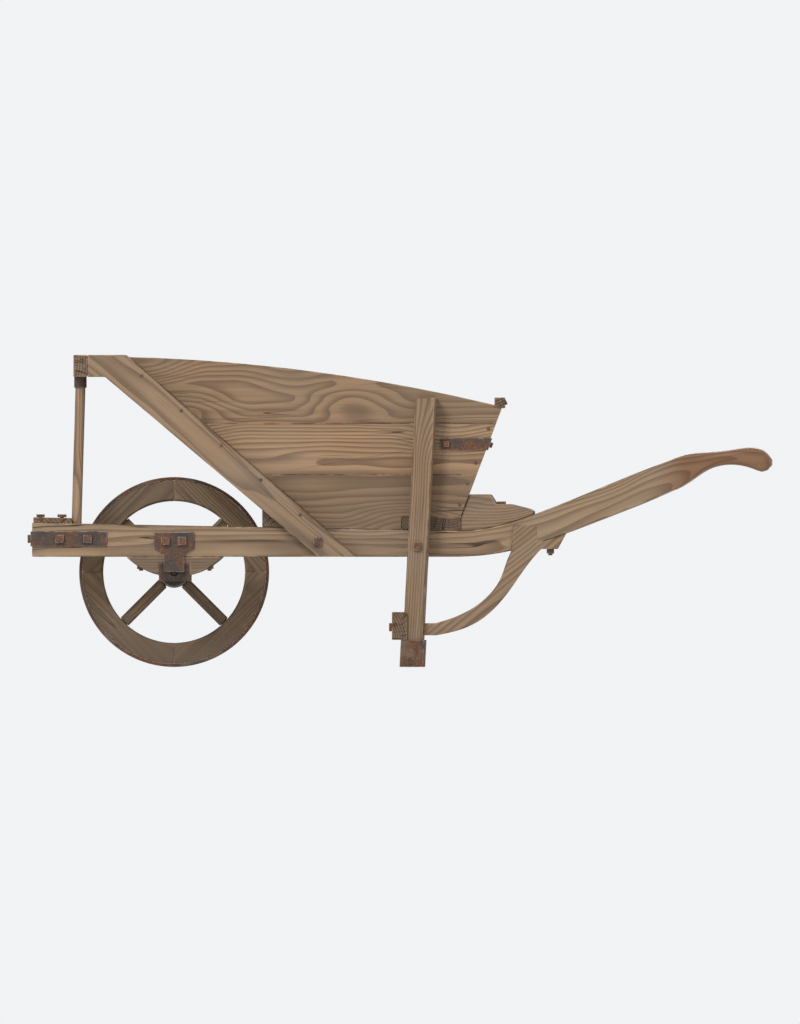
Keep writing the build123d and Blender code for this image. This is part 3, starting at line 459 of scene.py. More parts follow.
    @staticmethod
    def checks(
        paint: Painter, grain: bpy.types.NodeSocket, radius: Signal, bearing: Signal, end: Signal
    ) -> Signal:
        """Drying cracks: long ones along the grain, and radial ones on the end grain.

        Args:
            paint: The material's painter.
            grain: The place in the plank.
            radius: Distance from the pith.
            bearing: Angle about the pith.
            end: Where the end grain shows.

        Returns:
            The mask of the cracks.
        """
        long_line = paint.noise(paint.stretch(grain, (1.3, 34, 34)), 1.0, 2, 0.4)
        long_where = paint.noise(paint.stretch(grain, (2.2, 12, 12)), 1.0, 1)
        long = (long_line - 0.5).absolute().step(0.012, 0.002) * long_where.step(0.5, 0.62)
        end_line = paint.noise(paint.join(bearing * 9, radius * 9, 0.0), 1.0, 2, 0.4)
        end_where = paint.noise(grain, 42, 1)
        radial = (end_line - 0.5).absolute().step(0.028, 0.006) * end_where.step(0.42, 0.56)
        return long * (1 - end) + radial * end


@dataclass(frozen=True)
class IronFinish:
    """Smith's iron: dark scale, rust in patches, hammer marks, bright where it rubs.

    Attributes:
        name: The material's name.
        scale_colour: Colour of the forge scale, and `rust` of the rust.
        rusting: How much of it has rusted.
        bright_from: Distance from the axle past which the ground has rubbed it bright.
        soil: How much mud sticks to it.
        greased: Distance from the axle to which grease has spread.
    """

    name: str
    scale_colour: Colour = (0.040, 0.036, 0.033)
    rust: Colour = (0.185, 0.075, 0.032)
    rusting: float = 0.5
    bright_from: float | None = None
    soil: float = 0.0
    greased: float = 0.0

    def make(self) -> bpy.types.Material:
        """Builds the material."""
        paint = Painter(self.name)
        place = paint.place()
        edge = Signal(paint, paint.attribute("edge").outputs["Fac"])
        patch = paint.noise(place, 16, 5, 0.62)
        speck = paint.noise(place, 210, 3, 0.7)
        dent = paint.cells(place, 62)
        rusty = (patch * 1.2 + speck * 0.45 - 0.82 + self.rusting * 0.55).step(0.1, 0.5)
        colour = paint.mix(speck, self.scale_colour, shade_of(self.scale_colour, 1.8))
        rust_tone = paint.mix(speck.step(0.35, 0.7), shade_of(self.rust, 0.45), self.rust)
        colour = paint.mix(rusty * 0.9, colour, rust_tone)
        rubbed = edge * paint.noise(place, 70, 2).step(0.38, 0.6) * 0.6
        if self.bright_from is not None:
            tread = paint.reach_from_axle().step(self.bright_from, self.bright_from + 1.5 * MILLI)
            rubbed = (rubbed * 0.5 + tread * (patch * 0.7 + 0.45)).step(0.0, 1.0)
        colour = paint.mix(rubbed, colour, RUBBED_IRON)
        metallic = 0.75 - rusty * 0.7 + rubbed * 0.5
        roughness = 0.48 + rusty * 0.38 + speck * 0.12 - rubbed * 0.2
        if self.greased:
            grease = (paint.reach_from_axle() + (patch - 0.5) * 0.02).step(
                self.greased, self.greased * 0.6
            )
            colour = paint.mix(grease * 0.7, colour, GREASED_IRON)
            roughness = roughness - grease * 0.28
        height = 0.5 + dent * 0.35 + speck * 0.22 + rusty * 0.3
        if self.soil:
            soil = (paint.noise(place, 23, 5) + self.soil * 0.4).step(0.62, 0.78)
            colour = paint.mix(soil * 0.85, colour, DRY_MUD)
            metallic = metallic - soil * 0.7
            roughness = roughness + soil * 0.3
            height = height + soil * 0.5
        return paint.finish(colour, roughness, height, 0.6 * MILLI, metallic, specular=0.4)


FRAME_OAK = TimberFinish(
    "weathered_oak",
    early=(0.262, 0.160, 0.086),
    late=(0.098, 0.052, 0.026),
    weathered=(0.200, 0.172, 0.136),
    greying=0.42,
)
SHAFT_ASH = TimberFinish(
    "weathered_ash",
    early=(0.315, 0.203, 0.112),
    late=(0.130, 0.072, 0.036),
    weathered=(0.225, 0.195, 0.155),
    ring=7 * MILLI,
    greying=0.36,
    handled_from=0.60,
    knots=0.6,
)
BOARD_ELM = TimberFinish(
    "weathered_elm_boards",
    early=(0.330, 0.196, 0.100),
    late=(0.122, 0.062, 0.028),
    weathered=(0.245, 0.203, 0.152),
    ring=8 * MILLI,
    figure=1.0,
    greying=0.38,
    plank_contrast=0.45,
)
FLOOR_ELM = replace(BOARD_ELM, name="floor_elm_boards", settled_soil=0.8)
WHEEL_ASH = TimberFinish(
    "wheel_ash",
    early=(0.250, 0.158, 0.088),
    late=(0.102, 0.058, 0.029),
    weathered=(0.195, 0.166, 0.130),
    ring=5 * MILLI,
    greying=0.34,
    knots=0.3,
    soil_top=0.42,
    greased=0.05,
)
FORGED_IRON = IronFinish("forged_iron")
BOLT_IRON = IronFinish("bolt_iron", rusting=0.7, rust=(0.205, 0.085, 0.036))
AXLE_IRON = IronFinish("greased_axle_iron", rusting=0.45, greased=0.045)
SHOE_IRON = IronFinish("shoe_iron", rusting=0.65, soil=0.35)


# ------------------------------------------------------------------------------ bench work
@contextmanager
def editing(piece: bpy.types.Object, everything: bool = True) -> Iterator[bpy.types.Object]:
    """Opens one piece in edit mode, and closes it again.

    Args:
        piece: The mesh to work on.
        everything: Whether all of it is selected, or only what was selected before.

    Yields:
        The same piece.
    """
    pick(piece)
    bpy.ops.object.mode_set(mode="EDIT")
    if everything:
        bpy.ops.mesh.select_all(action="SELECT")
    try:
        yield piece
    finally:
        bpy.ops.object.mode_set(mode="OBJECT")


def pick(piece: bpy.types.Object) -> None:
    """Makes this piece the only selected one, and the active one."""
    bpy.ops.object.select_all(action="DESELECT")
    piece.select_set(True)
    bpy.context.view_layer.objects.active = piece


def choose_faces(piece: bpy.types.Object, wanted: Callable[[Vector, Vector], bool]) -> None:
    """Selects faces by their place and their normal, and nothing else.

    Args:
        piece: The mesh.
        wanted: Whether a face with this centre and normal is selected.
    """
    with editing(piece):
        bpy.ops.mesh.select_mode(type="FACE")
        bpy.ops.mesh.select_all(action="DESELECT")
    for polygon in piece.data.polygons:
        polygon.select = wanted(polygon.center, polygon.normal)


def apply_modifier(piece: bpy.types.Object, kind: str, **settings: object) -> None:
    """Adds a modifier, sets it and applies it.

    Args:
        piece: The mesh.
        kind: The modifier's type.
        settings: Its properties.
    """
    pick(piece)
    modifier = piece.modifiers.new(kind.lower(), kind)
    for name, value in settings.items():
        setattr(modifier, name, value)
    bpy.ops.object.modifier_apply(modifier=modifier.name)


def read_all(items: bpy.types.bpy_prop_collection, name: str, size: int, kind: type) -> np.ndarray:
    """One property of all the vertices, edges or faces of a mesh.

    Args:
        items: The vertices, edges or faces.
        name: The property.
        size: How many numbers it has.
        kind: Their type.

    Returns:
        One row for each item, or one number where the property has one.
    """
    flat = np.empty(size * len(items), dtype=kind)
    items.foreach_get(name, flat)
    return flat if size == 1 else flat.reshape(-1, size)


def corners(piece: bpy.types.Object) -> np.ndarray:
    """The mesh's vertices as rows of x, y, z."""
    return read_all(piece.data.vertices, "co", 3, float)


def move_corners(piece: bpy.types.Object, points: np.ndarray) -> None:
    """Puts the mesh's vertices at these rows of x, y, z."""
    piece.data.vertices.foreach_set("co", points.ravel())
    piece.data.update()


def mark(piece: bpy.types.Object, name: str, kind: str, domain: str, values: np.ndarray) -> None:
    """Writes an attribute of the piece's own.

    Args:
        piece: The mesh.
        name: The attribute's name.
        kind: Its type, FLOAT or FLOAT_VECTOR.
        domain: What has a value each: a vertex, an edge or a corner of a face.
        values: The values in the mesh's order.
    """
    attribute = piece.data.attributes.new(name, kind, domain)
    key = "vector" if kind == "FLOAT_VECTOR" else "value"
    attribute.data.foreach_set(key, values.astype(np.float32).ravel())


def islands(piece: bpy.types.Object) -> np.ndarray:
    """Numbers the separate solids of a mesh.

    Args:
        piece: The mesh.

    Returns:
        The number of its solid for each vertex.
    """
    a, b = read_all(piece.data.edges, "vertices", 2, int).T
    label = np.arange(len(piece.data.vertices))
    while True:
        low = np.minimum(label[a], label[b])
        fresh = label.copy()
        np.minimum.at(fresh, a, low)
        np.minimum.at(fresh, b, low)
        fresh = fresh[fresh]
        if np.array_equal(fresh, label):
            return np.unique(label, return_inverse=True)[1]
        label = fresh


def principal_axes(points: np.ndarray) -> np.ndarray:
    """The longest, middle and thinnest directions of a solid, as rows."""
    _, vectors = np.linalg.eigh(np.cov((points - points.mean(axis=0)).T))
    return vectors.T[::-1]


@dataclass
class Bench:
    """Where copies of the frame's nodes are eased, aged and dressed.

    Attributes:
        nodes: The frame's nodes by name.
        finishes: The materials made so far.
        weld: Corners this near are made one.
        flat_angle: Faces that meet flatter than this are one face.
        longest_edge: Longer edges are halved, at most `halvings` times.
        unevenness: How far a face strays, in waves of two sizes.
        noise_seed: What fixes the waves' places, which would otherwise follow the clock.
        sharp_angle: Edges sharper than this are eased, if longer than `shortest_eased`.
        smooth_angle: Edges flatter than this are shaded smooth.
        pith_aside: How far to either side of a plank its log's pith may lie.
        pith_near: How near to a plank the pith may lie, and `pith_far` how far.
        shift_along: How far planks are shifted along the grain, so that no two are alike.
    """

    nodes: dict[str, bpy.types.Object]
    finishes: dict[str, bpy.types.Material] = field(default_factory=dict)
    weld: float = 0.02 * MILLI
    flat_angle: float = math.radians(0.5)
    longest_edge: float = 60 * MILLI
    halvings: int = 5
    unevenness: float = 0.7 * MILLI
    noise_seed: int = 11
    slow_wave: float = 4.0
    quick_wave: float = 17.0
    quick_share: float = 0.4
    quick_start: Triple = (7, 3, 5)
    sharp_angle: float = math.radians(32)
    shortest_eased: float = 0.5 * MILLI
    smooth_angle: float = math.radians(38)
    normal_weight: int = 80
    pith_aside: float = 50 * MILLI
    pith_near: float = 50 * MILLI
    pith_far: float = 110 * MILLI
    shift_along: float = 9.0

    def material(self, finish: TimberFinish | IronFinish) -> bpy.types.Material:
        """The finish's material, made once."""
        if finish.name not in self.finishes:
            self.finishes[finish.name] = finish.make()
        return self.finishes[finish.name]

    def copy(self, node: str) -> bpy.types.Object:
        """Copies a node as a welded mesh of as few triangles as its flat faces need.

        Args:
            node: The node's name.

        Returns:
            The copy, which stands for the node.
        """
        mesh = self.nodes[node].data.copy()
        mesh.materials.clear()
        piece = bpy.data.objects.new(f"worn_{node}", mesh)
        bpy.context.scene.collection.objects.link(piece)
        pick(piece)
        bpy.ops.mesh.customdata_custom_splitnormals_clear()
        with editing(piece):
            bpy.ops.mesh.remove_doubles(threshold=self.weld)
            bpy.ops.mesh.dissolve_limited(angle_limit=self.flat_angle)
            bpy.ops.mesh.quads_convert_to_tris(quad_method="BEAUTY", ngon_method="BEAUTY")
        return piece

    def ease_edges(
        self, piece: bpy.types.Object, width: float, segments: int, before: float = math.inf
    ) -> None:
        """Rounds the sharp edges and marks the rounded faces in the attribute `edge`.

        The rounding gives its faces the material 1, which is read as the mark and then cleared.

        Args:
            piece: The mesh.
            width: Width of the rounding in metres.
            segments: Faces across the rounding.
            before: Place along the barrow past which edges stay as they are.
        """
        full = corners(piece)
        self.weigh_sharp_edges(piece, max(1.2 * width, self.shortest_eased), before)
        piece.data.materials.append(None)
        piece.data.materials.append(None)
        apply_modifier(
            piece,
            "BEVEL",
            width=width,
            segments=segments,
            limit_method="WEIGHT",
            use_clamp_overlap=False,
            loop_slide=False,
            material=1,
        )
        move_corners(piece, np.clip(corners(piece), full.min(axis=0), full.max(axis=0)))
        faces = piece.data.polygons
        eased = read_all(faces, "material_index", 1, int)
        counts = read_all(faces, "loop_total", 1, int)
        mark(piece, "edge", "FLOAT", "CORNER", np.repeat(eased, counts))
        faces.foreach_set("material_index", np.zeros(len(faces), dtype=int))
        piece.data.materials.clear()

    def weigh_sharp_edges(self, piece: bpy.types.Object, shortest: float, before: float) -> None:
        """Gives a bevel weight to each sharp edge that a rounding fits.

        Args:
            piece: The mesh.
            shortest: Length in metres under which an edge stays as it is.
            before: Place along the barrow past which edges stay as they are.
        """
        with editing(piece):
            bpy.ops.mesh.select_all(action="DESELECT")
            bpy.ops.mesh.select_mode(type="EDGE")
            bpy.ops.mesh.edges_select_sharp(sharpness=self.sharp_angle)
        edges = piece.data.edges
        sharp = read_all(edges, "select", 1, bool)
        points = corners(piece)
        a, b = (points[column] for column in read_all(edges, "vertices", 2, int).T)
        fits = np.linalg.norm(a - b, axis=1) > shortest
        near = (a + b)[:, 0] / 2 < before
        mark(piece, "bevel_weight_edge", "FLOAT", "EDGE", sharp & fits & near)

    def shorten_edges(self, piece: bpy.types.Object) -> None:
        """Divides long edges, so that the piece can be a little uneven."""
        for _ in range(self.halvings):
            points = corners(piece)
            a, b = read_all(piece.data.edges, "vertices", 2, int).T
            long = np.linalg.norm(points[a] - points[b], axis=1) > self.longest_edge
            if not long.any():
                return
            with editing(piece):
                bpy.ops.mesh.select_all(action="DESELECT")
                bpy.ops.mesh.select_mode(type="EDGE")
            piece.data.edges.foreach_set("select", long)
            with editing(piece, everything=False):
                bpy.ops.mesh.subdivide(number_cuts=1)

    def make_uneven(self, piece: bpy.types.Object) -> None:
        """Moves the corners by a soft random field that pieces which touch share."""
        noise.seed_set(self.noise_seed)
        points = corners(piece)
        low, high = points.min(axis=0), points.max(axis=0)
        for k, point in enumerate(points):
            slow = noise.noise_vector(Vector(point) * self.slow_wave)
            quick = noise.noise_vector(Vector(point) * self.quick_wave + Vector(self.quick_start))
            points[k] += self.unevenness * (np.array(slow) + self.quick_share * np.array(quick))
        move_corners(piece, np.clip(points, low, high))

    def lay_grain(
        self, piece: bpy.types.Object, run: GrainRun, follow_bend: bool = False
    ) -> None:
        """Writes each vertex's place in its own plank as the attribute `grain`, and a plank `tint`.

        Args:
            piece: The mesh.
            run: Which way the grain runs.
            follow_bend: Whether the grain follows the piece's bent centre line.
        """
        points = corners(piece)
        number = islands(piece)
        grain = np.zeros_like(points)
        tint = np.zeros(len(points))
        alongs = np.zeros((number.max() + 1, 3))
        rng = np.random.default_rng(zlib.crc32(piece.name.encode()))
        for k in range(number.max() + 1):
            mine = number == k
            own = points[mine]
            axes = principal_axes(own)
            middle = own.mean(axis=0)
            aside = rng.uniform(-self.pith_aside, self.pith_aside)
            pith = np.array([0.0, aside, rng.uniform(self.pith_near, self.pith_far)])
            if run is GrainRun.LEVEL:
                along = np.cross(axes[2], (0, 0, 1))
                along /= np.linalg.norm(along)
                axes = np.array([along, np.cross(axes[2], along), axes[2]])
            elif run is GrainRun.AXLE:
                axes = np.array([(0, 1, 0), (1, 0, 0), (0, 0, 1)])
                middle = np.array((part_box("axle")[0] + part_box("axle")[1]) / 2)
                pith = np.zeros(3)
            alongs[k] = axes[0]
            local = (own - middle) @ axes.T
            if follow_bend:
                local[:, 1] -= self.centre_line(local)
            grain[mine] = local + pith + (rng.uniform(-self.shift_along, self.shift_along), 0, 0)
            tint[mine] = rng.uniform(0, 1)
        self.mark_ends(piece, number, alongs)
        mark(piece, "grain", "FLOAT_VECTOR", "POINT", grain)
        mark(piece, "tint", "FLOAT", "POINT", tint)

    @staticmethod
    def mark_ends(piece: bpy.types.Object, number: np.ndarray, alongs: np.ndarray) -> None:
        """Marks the faces that show end grain in the attribute `end`.

        Args:
            piece: The mesh.
            number: The number of its solid for each vertex.
            alongs: The direction of the grain in each solid.
        """
        faces = piece.data.polygons
        owners = number[[face.vertices[0] for face in faces]]
        facing = np.abs((read_all(faces, "normal", 3, float) * alongs[owners]).sum(axis=1))
        none_at, all_at = 0.6, 0.85
        shown = np.clip((facing - none_at) / (all_at - none_at), 0, 1)
        counts = read_all(faces, "loop_total", 1, int)
        mark(piece, "end", "FLOAT", "CORNER", np.repeat(shown, counts))

    @staticmethod
    def centre_line(local: np.ndarray, stations: int = 26) -> np.ndarray:
        """Height of a bent piece's centre line beside each of its vertices.

        Args:
            local: Vertices as places along, across and through the piece.
            stations: How many places along the piece are measured.

        Returns:
            The centre line's height for each vertex.
        """
        edges = np.linspace(local[:, 0].min(), local[:, 0].max(), stations + 1)
        middles, heights = [], []
        for low, high in zip(edges[:-1], edges[1:]):
            near = local[(local[:, 0] >= low) & (local[:, 0] <= high), 1]
            if len(near) > 1:
                middles.append((low + high) / 2)
                heights.append((near.min() + near.max()) / 2)
        return np.interp(local[:, 0], middles, heights)

    def timber(
        self,
        node: str,
        body: Body,
        finish: TimberFinish,
        ease: float = 2.5,
        run: GrainRun = GrainRun.LONGEST,
        follow_bend: bool = False,
        uneven: bool = True,
        before: float = math.inf,
        shape: Callable[[bpy.types.Object], None] | None = None,
    ) -> bpy.types.Object:
        """Makes the worn timber that stands for a node.

        Args:
            node: The node's name.
            body: The body that it rides on.
            finish: Its finish.
            ease: Width of the worn edges in millimetres.
            run: Which way the grain runs.
            follow_bend: Whether the grain follows the piece's bend.
            uneven: Whether its faces are a little uneven.
            before: Place along the barrow past which edges aren't eased.
            shape: A change to the copy before its edges are eased.

        Returns:
            The finished piece.
        """
        piece = self.copy(node)
        if shape:
            shape(piece)
        if uneven:
            self.shorten_edges(piece)
            self.make_uneven(piece)
        self.ease_edges(piece, ease * MILLI, 3, before)
        self.lay_grain(piece, run, follow_bend)
        return self.hand_over(piece, node, body, finish)

    def iron(
        self,
        node: str,
        body: Body,
        finish: IronFinish,
        ease: float = 0.9,
    ) -> bpy.types.Object:
        """Makes the forged piece that stands for a node.

        Args:
            node: The node's name.
            body: The body that it rides on.
            finish: Its finish.
            ease: Width of the worn edges in millimetres.

        Returns:
            The finished piece.
        """
        piece = self.copy(node)
        self.ease_edges(piece, ease * MILLI, 2)
        return self.hand_over(piece, node, body, finish)

    def hand_over(
        self,
        piece: bpy.types.Object,
        node: str,
        body: Body,
        finish: TimberFinish | IronFinish,
    ) -> bpy.types.Object:
        """Shades and dresses a piece, and lets it stand for its node.

        Args:
            piece: The mesh.
            node: The node that it stands for.
            body: The body that it rides on.
            finish: Its finish.

        Returns:
            The finished piece.
        """
        pick(piece)
        bpy.ops.object.shade_smooth_by_angle(angle=self.smooth_angle)
        apply_modifier(piece, "WEIGHTED_NORMAL", keep_sharp=True, weight=self.normal_weight)
        piece.data.materials.append(self.material(finish))
        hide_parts(node)
        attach(piece, body.value)
        log.info("%s: %d faces, on %s", piece.name, len(piece.data.polygons), body.value)
        return piece


# ------------------------------------------------------------------------------ sub-assemblies
def sides(name: str) -> list[str]:
    """The left and right nodes of a pair."""
    return [f"{side}_{name}" for side in ("left", "right")]


@dataclass
class Wheel:
    """The spoked wheel with its hub, axle and iron tyre."""

    body: Body = Body.WHEEL
    felloes: int = 4
    ease: float = 1.6
    tyre_crown: float = 1.2 * MILLI
    joint_gap: float = 0.3 * MILLI
    closed_gap: float = 0.02 * MILLI

    def build(self, bench: Bench) -> None:
        """Makes every piece of the wheel."""
        for k in range(1, self.felloes + 1):
            bench.timber(
                f"felloe_{k}",
                self.body,
                WHEEL_ASH,
                self.ease,
                uneven=False,
                shape=self.close_joints,
            )
            bench.timber(f"spoke_{k}", self.body, WHEEL_ASH, self.ease, uneven=False)
        bench.timber(
            "hub", self.body, WHEEL_ASH, self.ease, GrainRun.AXLE, uneven=False
        )
        bench.timber("felloe_dowels", self.body, WHEEL_ASH, 1.0, uneven=False)
        bench.iron("hub_bands", self.body, FORGED_IRON)
        bench.iron("axle", self.body, AXLE_IRON)
        bench.iron("axle_washers", self.body, AXLE_IRON)
        low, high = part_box("tyre")
        radius = (high.x - low.x) / 2
        tread = IronFinish("tyre_iron", rusting=0.7, bright_from=radius - self.tyre_crown, soil=0.2)
        bench.iron("tyre", self.body, tread, 1.2)

    def close_joints(self, felloe: bpy.types.Object) -> None:
        """Brings a felloe's two end faces up to the next felloes, as the shrunk tyre does."""
        centre = sum(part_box("axle"), Vector()) / 2
        points = corners(felloe)
        for axis in (0, 2):
            offset = points[:, axis] - centre[axis]
            butt = np.abs(offset) < self.joint_gap
            points[butt, axis] = centre[axis] + np.sign(offset[butt]) * self.closed_gap
        move_corners(felloe, points)


@dataclass
class Chassis:
    """The two shafts with what joins them and what carries the axle."""

    body: Body = Body.BARROW
    grip_length: float = 0.24

    def build(self, bench: Bench) -> None:
        """Makes the shafts, crossbars, axle carriers and nose."""
        for node in sides("shaft"):
            grip_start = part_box(node)[1].x - self.grip_length
            bench.timber(
                node, self.body, SHAFT_ASH, 3.0, follow_bend=True, before=grip_start
            )
        for node in ("nose_crossbar", "floor_crossbars", *sides("axle_block")):
            bench.timber(node, self.body, FRAME_OAK)
        bench.timber("nose_board", self.body, BOARD_ELM, 1.8)
        for node in sides("bearing_box"):
            bench.iron(node, self.body, AXLE_IRON)
        for node in (*sides("hanger_plate"), *sides("nose_strap")):
            bench.iron(node, self.body, FORGED_IRON, ease=1.2)


@dataclass
class Tray:
    """The load-carrying body: floor, front, sides and tail with their framing."""

    body: Body = Body.BARROW
    board_ease: float = 1.6
    widest_seam: float = 0.6 * MILLI
    closed_seam: float = 0.02 * MILLI

    def build(self, bench: Bench) -> None:
        """Makes the boards and the pieces that hold them."""
        bench.timber("floor_boards", self.body, FLOOR_ELM, self.board_ease)
        for node in ("front_board", "tailboard"):
            bench.timber(node, self.body, BOARD_ELM, self.board_ease)
        for node in sides("side_boards"):
            bench.timber(
                node,
                self.body,
                BOARD_ELM,
                self.board_ease,
                GrainRun.LEVEL,
                shape=self.close_seams,
            )
        for node in (
            "head_rail", "front_bolster", "rear_sill", "tailboard_rail",
            *sides("front_strut"), *sides("tail_knee"),
        ):
            bench.timber(node, self.body, FRAME_OAK)
        for node in sides("front_stay"):
            bench.timber(node, self.body, FRAME_OAK, 1.0, uneven=False)
        for node in (*sides("corner_strap"), "stay_ferrules"):
            bench.iron(node, self.body, FORGED_IRON)

    def close_seams(self, boards: bpy.types.Object) -> None:
        """Brings the planks of a side together, so that no light shows between them."""
        points, number = corners(boards), islands(boards)
        same_height = 0.001 * MILLI
        for k in range(number.max() + 1):
            high = points[number == k, 2].max()
            above = points[(number != k) & (points[:, 2] > high), 2]
            if len(above) and above.min() - high < self.widest_seam:
                shift = (above.min() - high) / 2 - self.closed_seam
                points[np.isclose(points[:, 2], above.min(), atol=same_height), 2] -= shift
                points[np.isclose(points[:, 2], high, atol=same_height), 2] += shift
        move_corners(boards, points)


@dataclass
class Legs:
    """The two stake legs with their shoes, crossbar and curved braces."""

    body: Body = Body.BARROW

    def build(self, bench: Bench) -> None:
        """Makes the legs and what stays them."""
        for node in (*sides("leg"), *sides("leg_brace"), "leg_crossbar"):
            bench.timber(node, self.body, FRAME_OAK)
        for node in sides("leg_shoe"):
            bench.iron(node, self.body, SHOE_IRON, ease=1.2)


@dataclass
class RoseHeadNail:
    """A hand-forged nail: a hammered head of flat facets on a tapering shank."""

    head_radius: float = 4.7 * MILLI
    rim: float = 0.7 * MILLI
    facet_run: float = 1.6 * MILLI
    facet_rise: float = 0.8 * MILLI
    crown_rise: float = 0.4 * MILLI
    facets: int = 8
    shank_radius: float = 1.6 * MILLI
    point_share: float = 0.4
    pattern_shank: float = 1.0
    level: float = 0.9

    def forge(self) -> bpy.types.Object:
        """Models one nail at the origin, head up, with a shank of the pattern's length."""
        bpy.ops.object.select_all(action="DESELECT")
        bpy.ops.mesh.primitive_cylinder_add(
            vertices=self.facets,
            radius=self.head_radius,
            depth=self.rim,
            location=(0, 0, self.rim / 2),
        )
        nail = bpy.context.active_object
        pick(nail)
        bpy.ops.object.transform_apply(location=True, rotation=True, scale=True)
        choose_faces(nail, lambda centre, normal: normal.z > self.level)
        with editing(nail, everything=False):
            bpy.ops.mesh.inset(thickness=self.facet_run, depth=self.facet_rise)
            bpy.ops.mesh.inset(thickness=self.facet_run, depth=self.crown_rise)
        choose_faces(nail, lambda centre, normal: normal.z < -self.level)
        with editing(nail, everything=False):
            bpy.ops.mesh.inset(thickness=self.head_radius - self.shank_radius)
            down = {"value": (0, 0, -self.pattern_shank)}
            bpy.ops.mesh.extrude_region_move(TRANSFORM_OT_translate=down)
            bpy.ops.transform.resize(value=(self.point_share, self.point_share, 1))
        return nail

    def drive(self, pattern: bpy.types.Object, own: np.ndarray, turn: float) -> bpy.types.Object:
        """Copies the nail to where one of the frame's nails is.

        Args:
            pattern: The nail to copy.
            own: The vertices of the frame's nail.
            turn: Angle about its own line.

        Returns:
            The copy.
        """
        axis = principal_axes(own)[0]
        middle = own.mean(axis=0)
        along = (own - middle) @ axis
        out = np.linalg.norm(own - middle - np.outer(along, axis), axis=1)
        head = out > (self.head_radius + self.shank_radius) / 2
        if along[head].mean() < 0:
            axis, along = -axis, -along
        seat = along[head].min()
        nail = pattern.copy()
        nail.data = pattern.data.copy()
        bpy.context.scene.collection.objects.link(nail)
        for vertex in nail.data.vertices:
            if vertex.co.z < -self.pattern_shank / 2:
                vertex.co.z *= (seat - along.min()) / self.pattern_shank
        stand = Vector(axis).to_track_quat("Z", "Y") @ Quaternion((0, 0, 1), turn)
        nail.data.transform(Matrix.Translation(middle + seat * axis) @ stand.to_matrix().to_4x4())
        return nail

    def drive_all(self, node: str, bench: Bench) -> bpy.types.Object:
        """Makes one piece of all the nails in a node.

        Args:
            node: The node of the frame's nails.
            bench: Where the node's copy is made.

        Returns:
            The nails, joined.
        """
        old = bench.copy(node)
        points, number = corners(old), islands(old)
        pattern = self.forge()
        rng = np.random.default_rng(zlib.crc32(node.encode()))
        nails = [
            self.drive(pattern, points[number == k], rng.uniform(0, math.tau))
            for k in range(number.max() + 1)
        ]
        name = old.name
        bpy.data.objects.remove(old)
        bpy.data.objects.remove(pattern)
        pick(nails[0])
        for nail in nails:
            nail.select_set(True)
        bpy.ops.object.join()
        nails[0].name = name
        nails[0].data.materials.clear()
        return nails[0]


@dataclass
class Fastenings:
    """Bolts, screws and nails."""

    body: Body = Body.BARROW
    nail_ease: float = 0.3 * MILLI

    def build(self, bench: Bench) -> None:
        """Makes the fastenings."""
        for node in ("plate_bolts", "nose_bolts", "side_bolts", "round_head_bolts"):
            bench.iron(node, self.body, BOLT_IRON, ease=1.4)
        for node in ("coach_screws", "small_screws"):
            bench.iron(node, self.body, BOLT_IRON, ease=1.0)
        nails = RoseHeadNail().drive_all("nails", bench)
        bench.ease_edges(nails, self.nail_ease, 1)
        bench.hand_over(nails, "nails", self.body, BOLT_IRON)


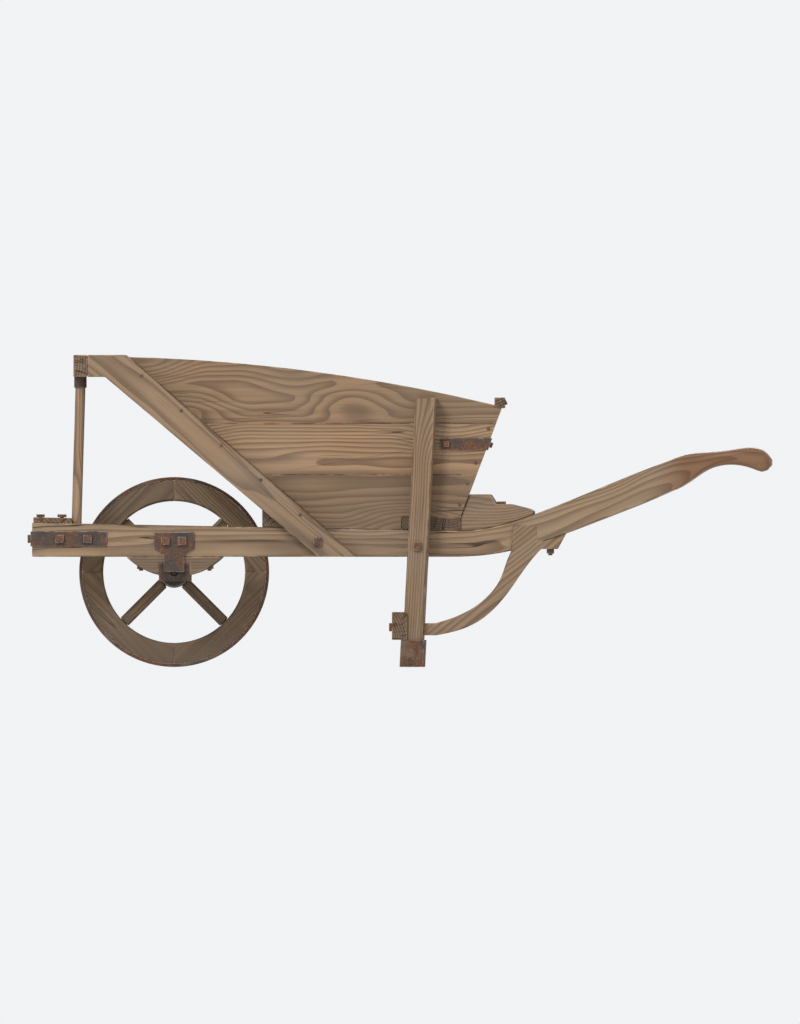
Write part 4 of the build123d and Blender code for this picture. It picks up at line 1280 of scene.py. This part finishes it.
# ------------------------------------------------------------------------------ studio
@dataclass
class Studio:
    """Floor, light and camera."""

    view_height: float = 2.4576
    aim_height: float = 0.372
    camera_distance: float = 20.0
    floor_size: float = 60.0
    floor_drop: float = 0.5 * MILLI
    light_aim: Triple = (0, 0, 0.35)
    sky: Colour = (0.93, 0.94, 0.96)
    sky_strength: float = 0.95

    def build(self) -> None:
        """Sets up everything that isn't the barrow."""
        self.lay_floor()
        self.light("key", (-3.2, -4.2, 4.6), (1.8, 1.8), 290)
        self.light("fill", (4.4, -3.2, 2.4), (3.2, 2.4), 40)
        self.light("back", (0.8, 4.6, 3.8), (3.6, 2.0), 130)
        world = bpy.data.worlds.new("studio")
        world.use_nodes = True
        background = world.node_tree.nodes["Background"]
        background.inputs["Color"].default_value = (*self.sky, 1)
        background.inputs["Strength"].default_value = self.sky_strength
        bpy.context.scene.world = world
        bpy.context.scene.view_settings.view_transform = "Standard"
        self.set_camera()

    def lay_floor(self) -> None:
        """Lays a plain pale floor."""
        bpy.ops.object.select_all(action="DESELECT")
        bpy.ops.mesh.primitive_plane_add(size=self.floor_size, location=(0, 0, -self.floor_drop))
        floor = bpy.context.active_object
        floor.name = "floor"
        paint = Painter("pale_floor")
        cloud = paint.noise(paint.place(), 1.4, 3)
        colour = paint.mix(cloud, (0.70, 0.69, 0.67), (0.76, 0.75, 0.735))
        floor.data.materials.append(paint.finish(colour, 0.75 + 0.1 * cloud, cloud, 0.2 * MILLI))

    def light(self, name: str, place: Triple, size: tuple[float, float], power: float) -> None:
        """Hangs a soft rectangular light aimed at the barrow.

        Args:
            name: The light's name.
            place: Where it hangs.
            size: Its width and height.
            power: Its power in watts.
        """
        data = bpy.data.lights.new(name, "AREA")
        data.shape = "RECTANGLE"
        data.size, data.size_y = size
        data.energy = power
        lamp = bpy.data.objects.new(name, data)
        lamp.location = place
        towards = Vector(self.light_aim) - Vector(place)
        lamp.rotation_euler = towards.to_track_quat("-Z", "Y").to_euler()
        lamp.visible_camera = False
        bpy.context.scene.collection.objects.link(lamp)

    def set_camera(self) -> None:
        """Stands the camera square to the barrow's left side."""
        data = bpy.data.cameras.new("side_view")
        data.type = "ORTHO"
        data.ortho_scale = self.view_height
        camera = bpy.data.objects.new("side_view", data)
        camera.location = (0, -self.camera_distance, self.aim_height)
        camera.rotation_euler = (math.pi / 2, 0, 0)
        bpy.context.scene.collection.objects.link(camera)
        bpy.context.scene.camera = camera


def main() -> None:
    logging.basicConfig(level=logging.INFO, format="%(name)s: %(message)s")
    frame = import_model()
    bench = Bench(frame["nodes"])
    for assembly in (Wheel(), Chassis(), Tray(), Legs(), Fastenings()):
        assembly.build(bench)
        log.info("%s done", type(assembly).__name__)
    Studio().build()


if __name__ == "__main__":
    main()
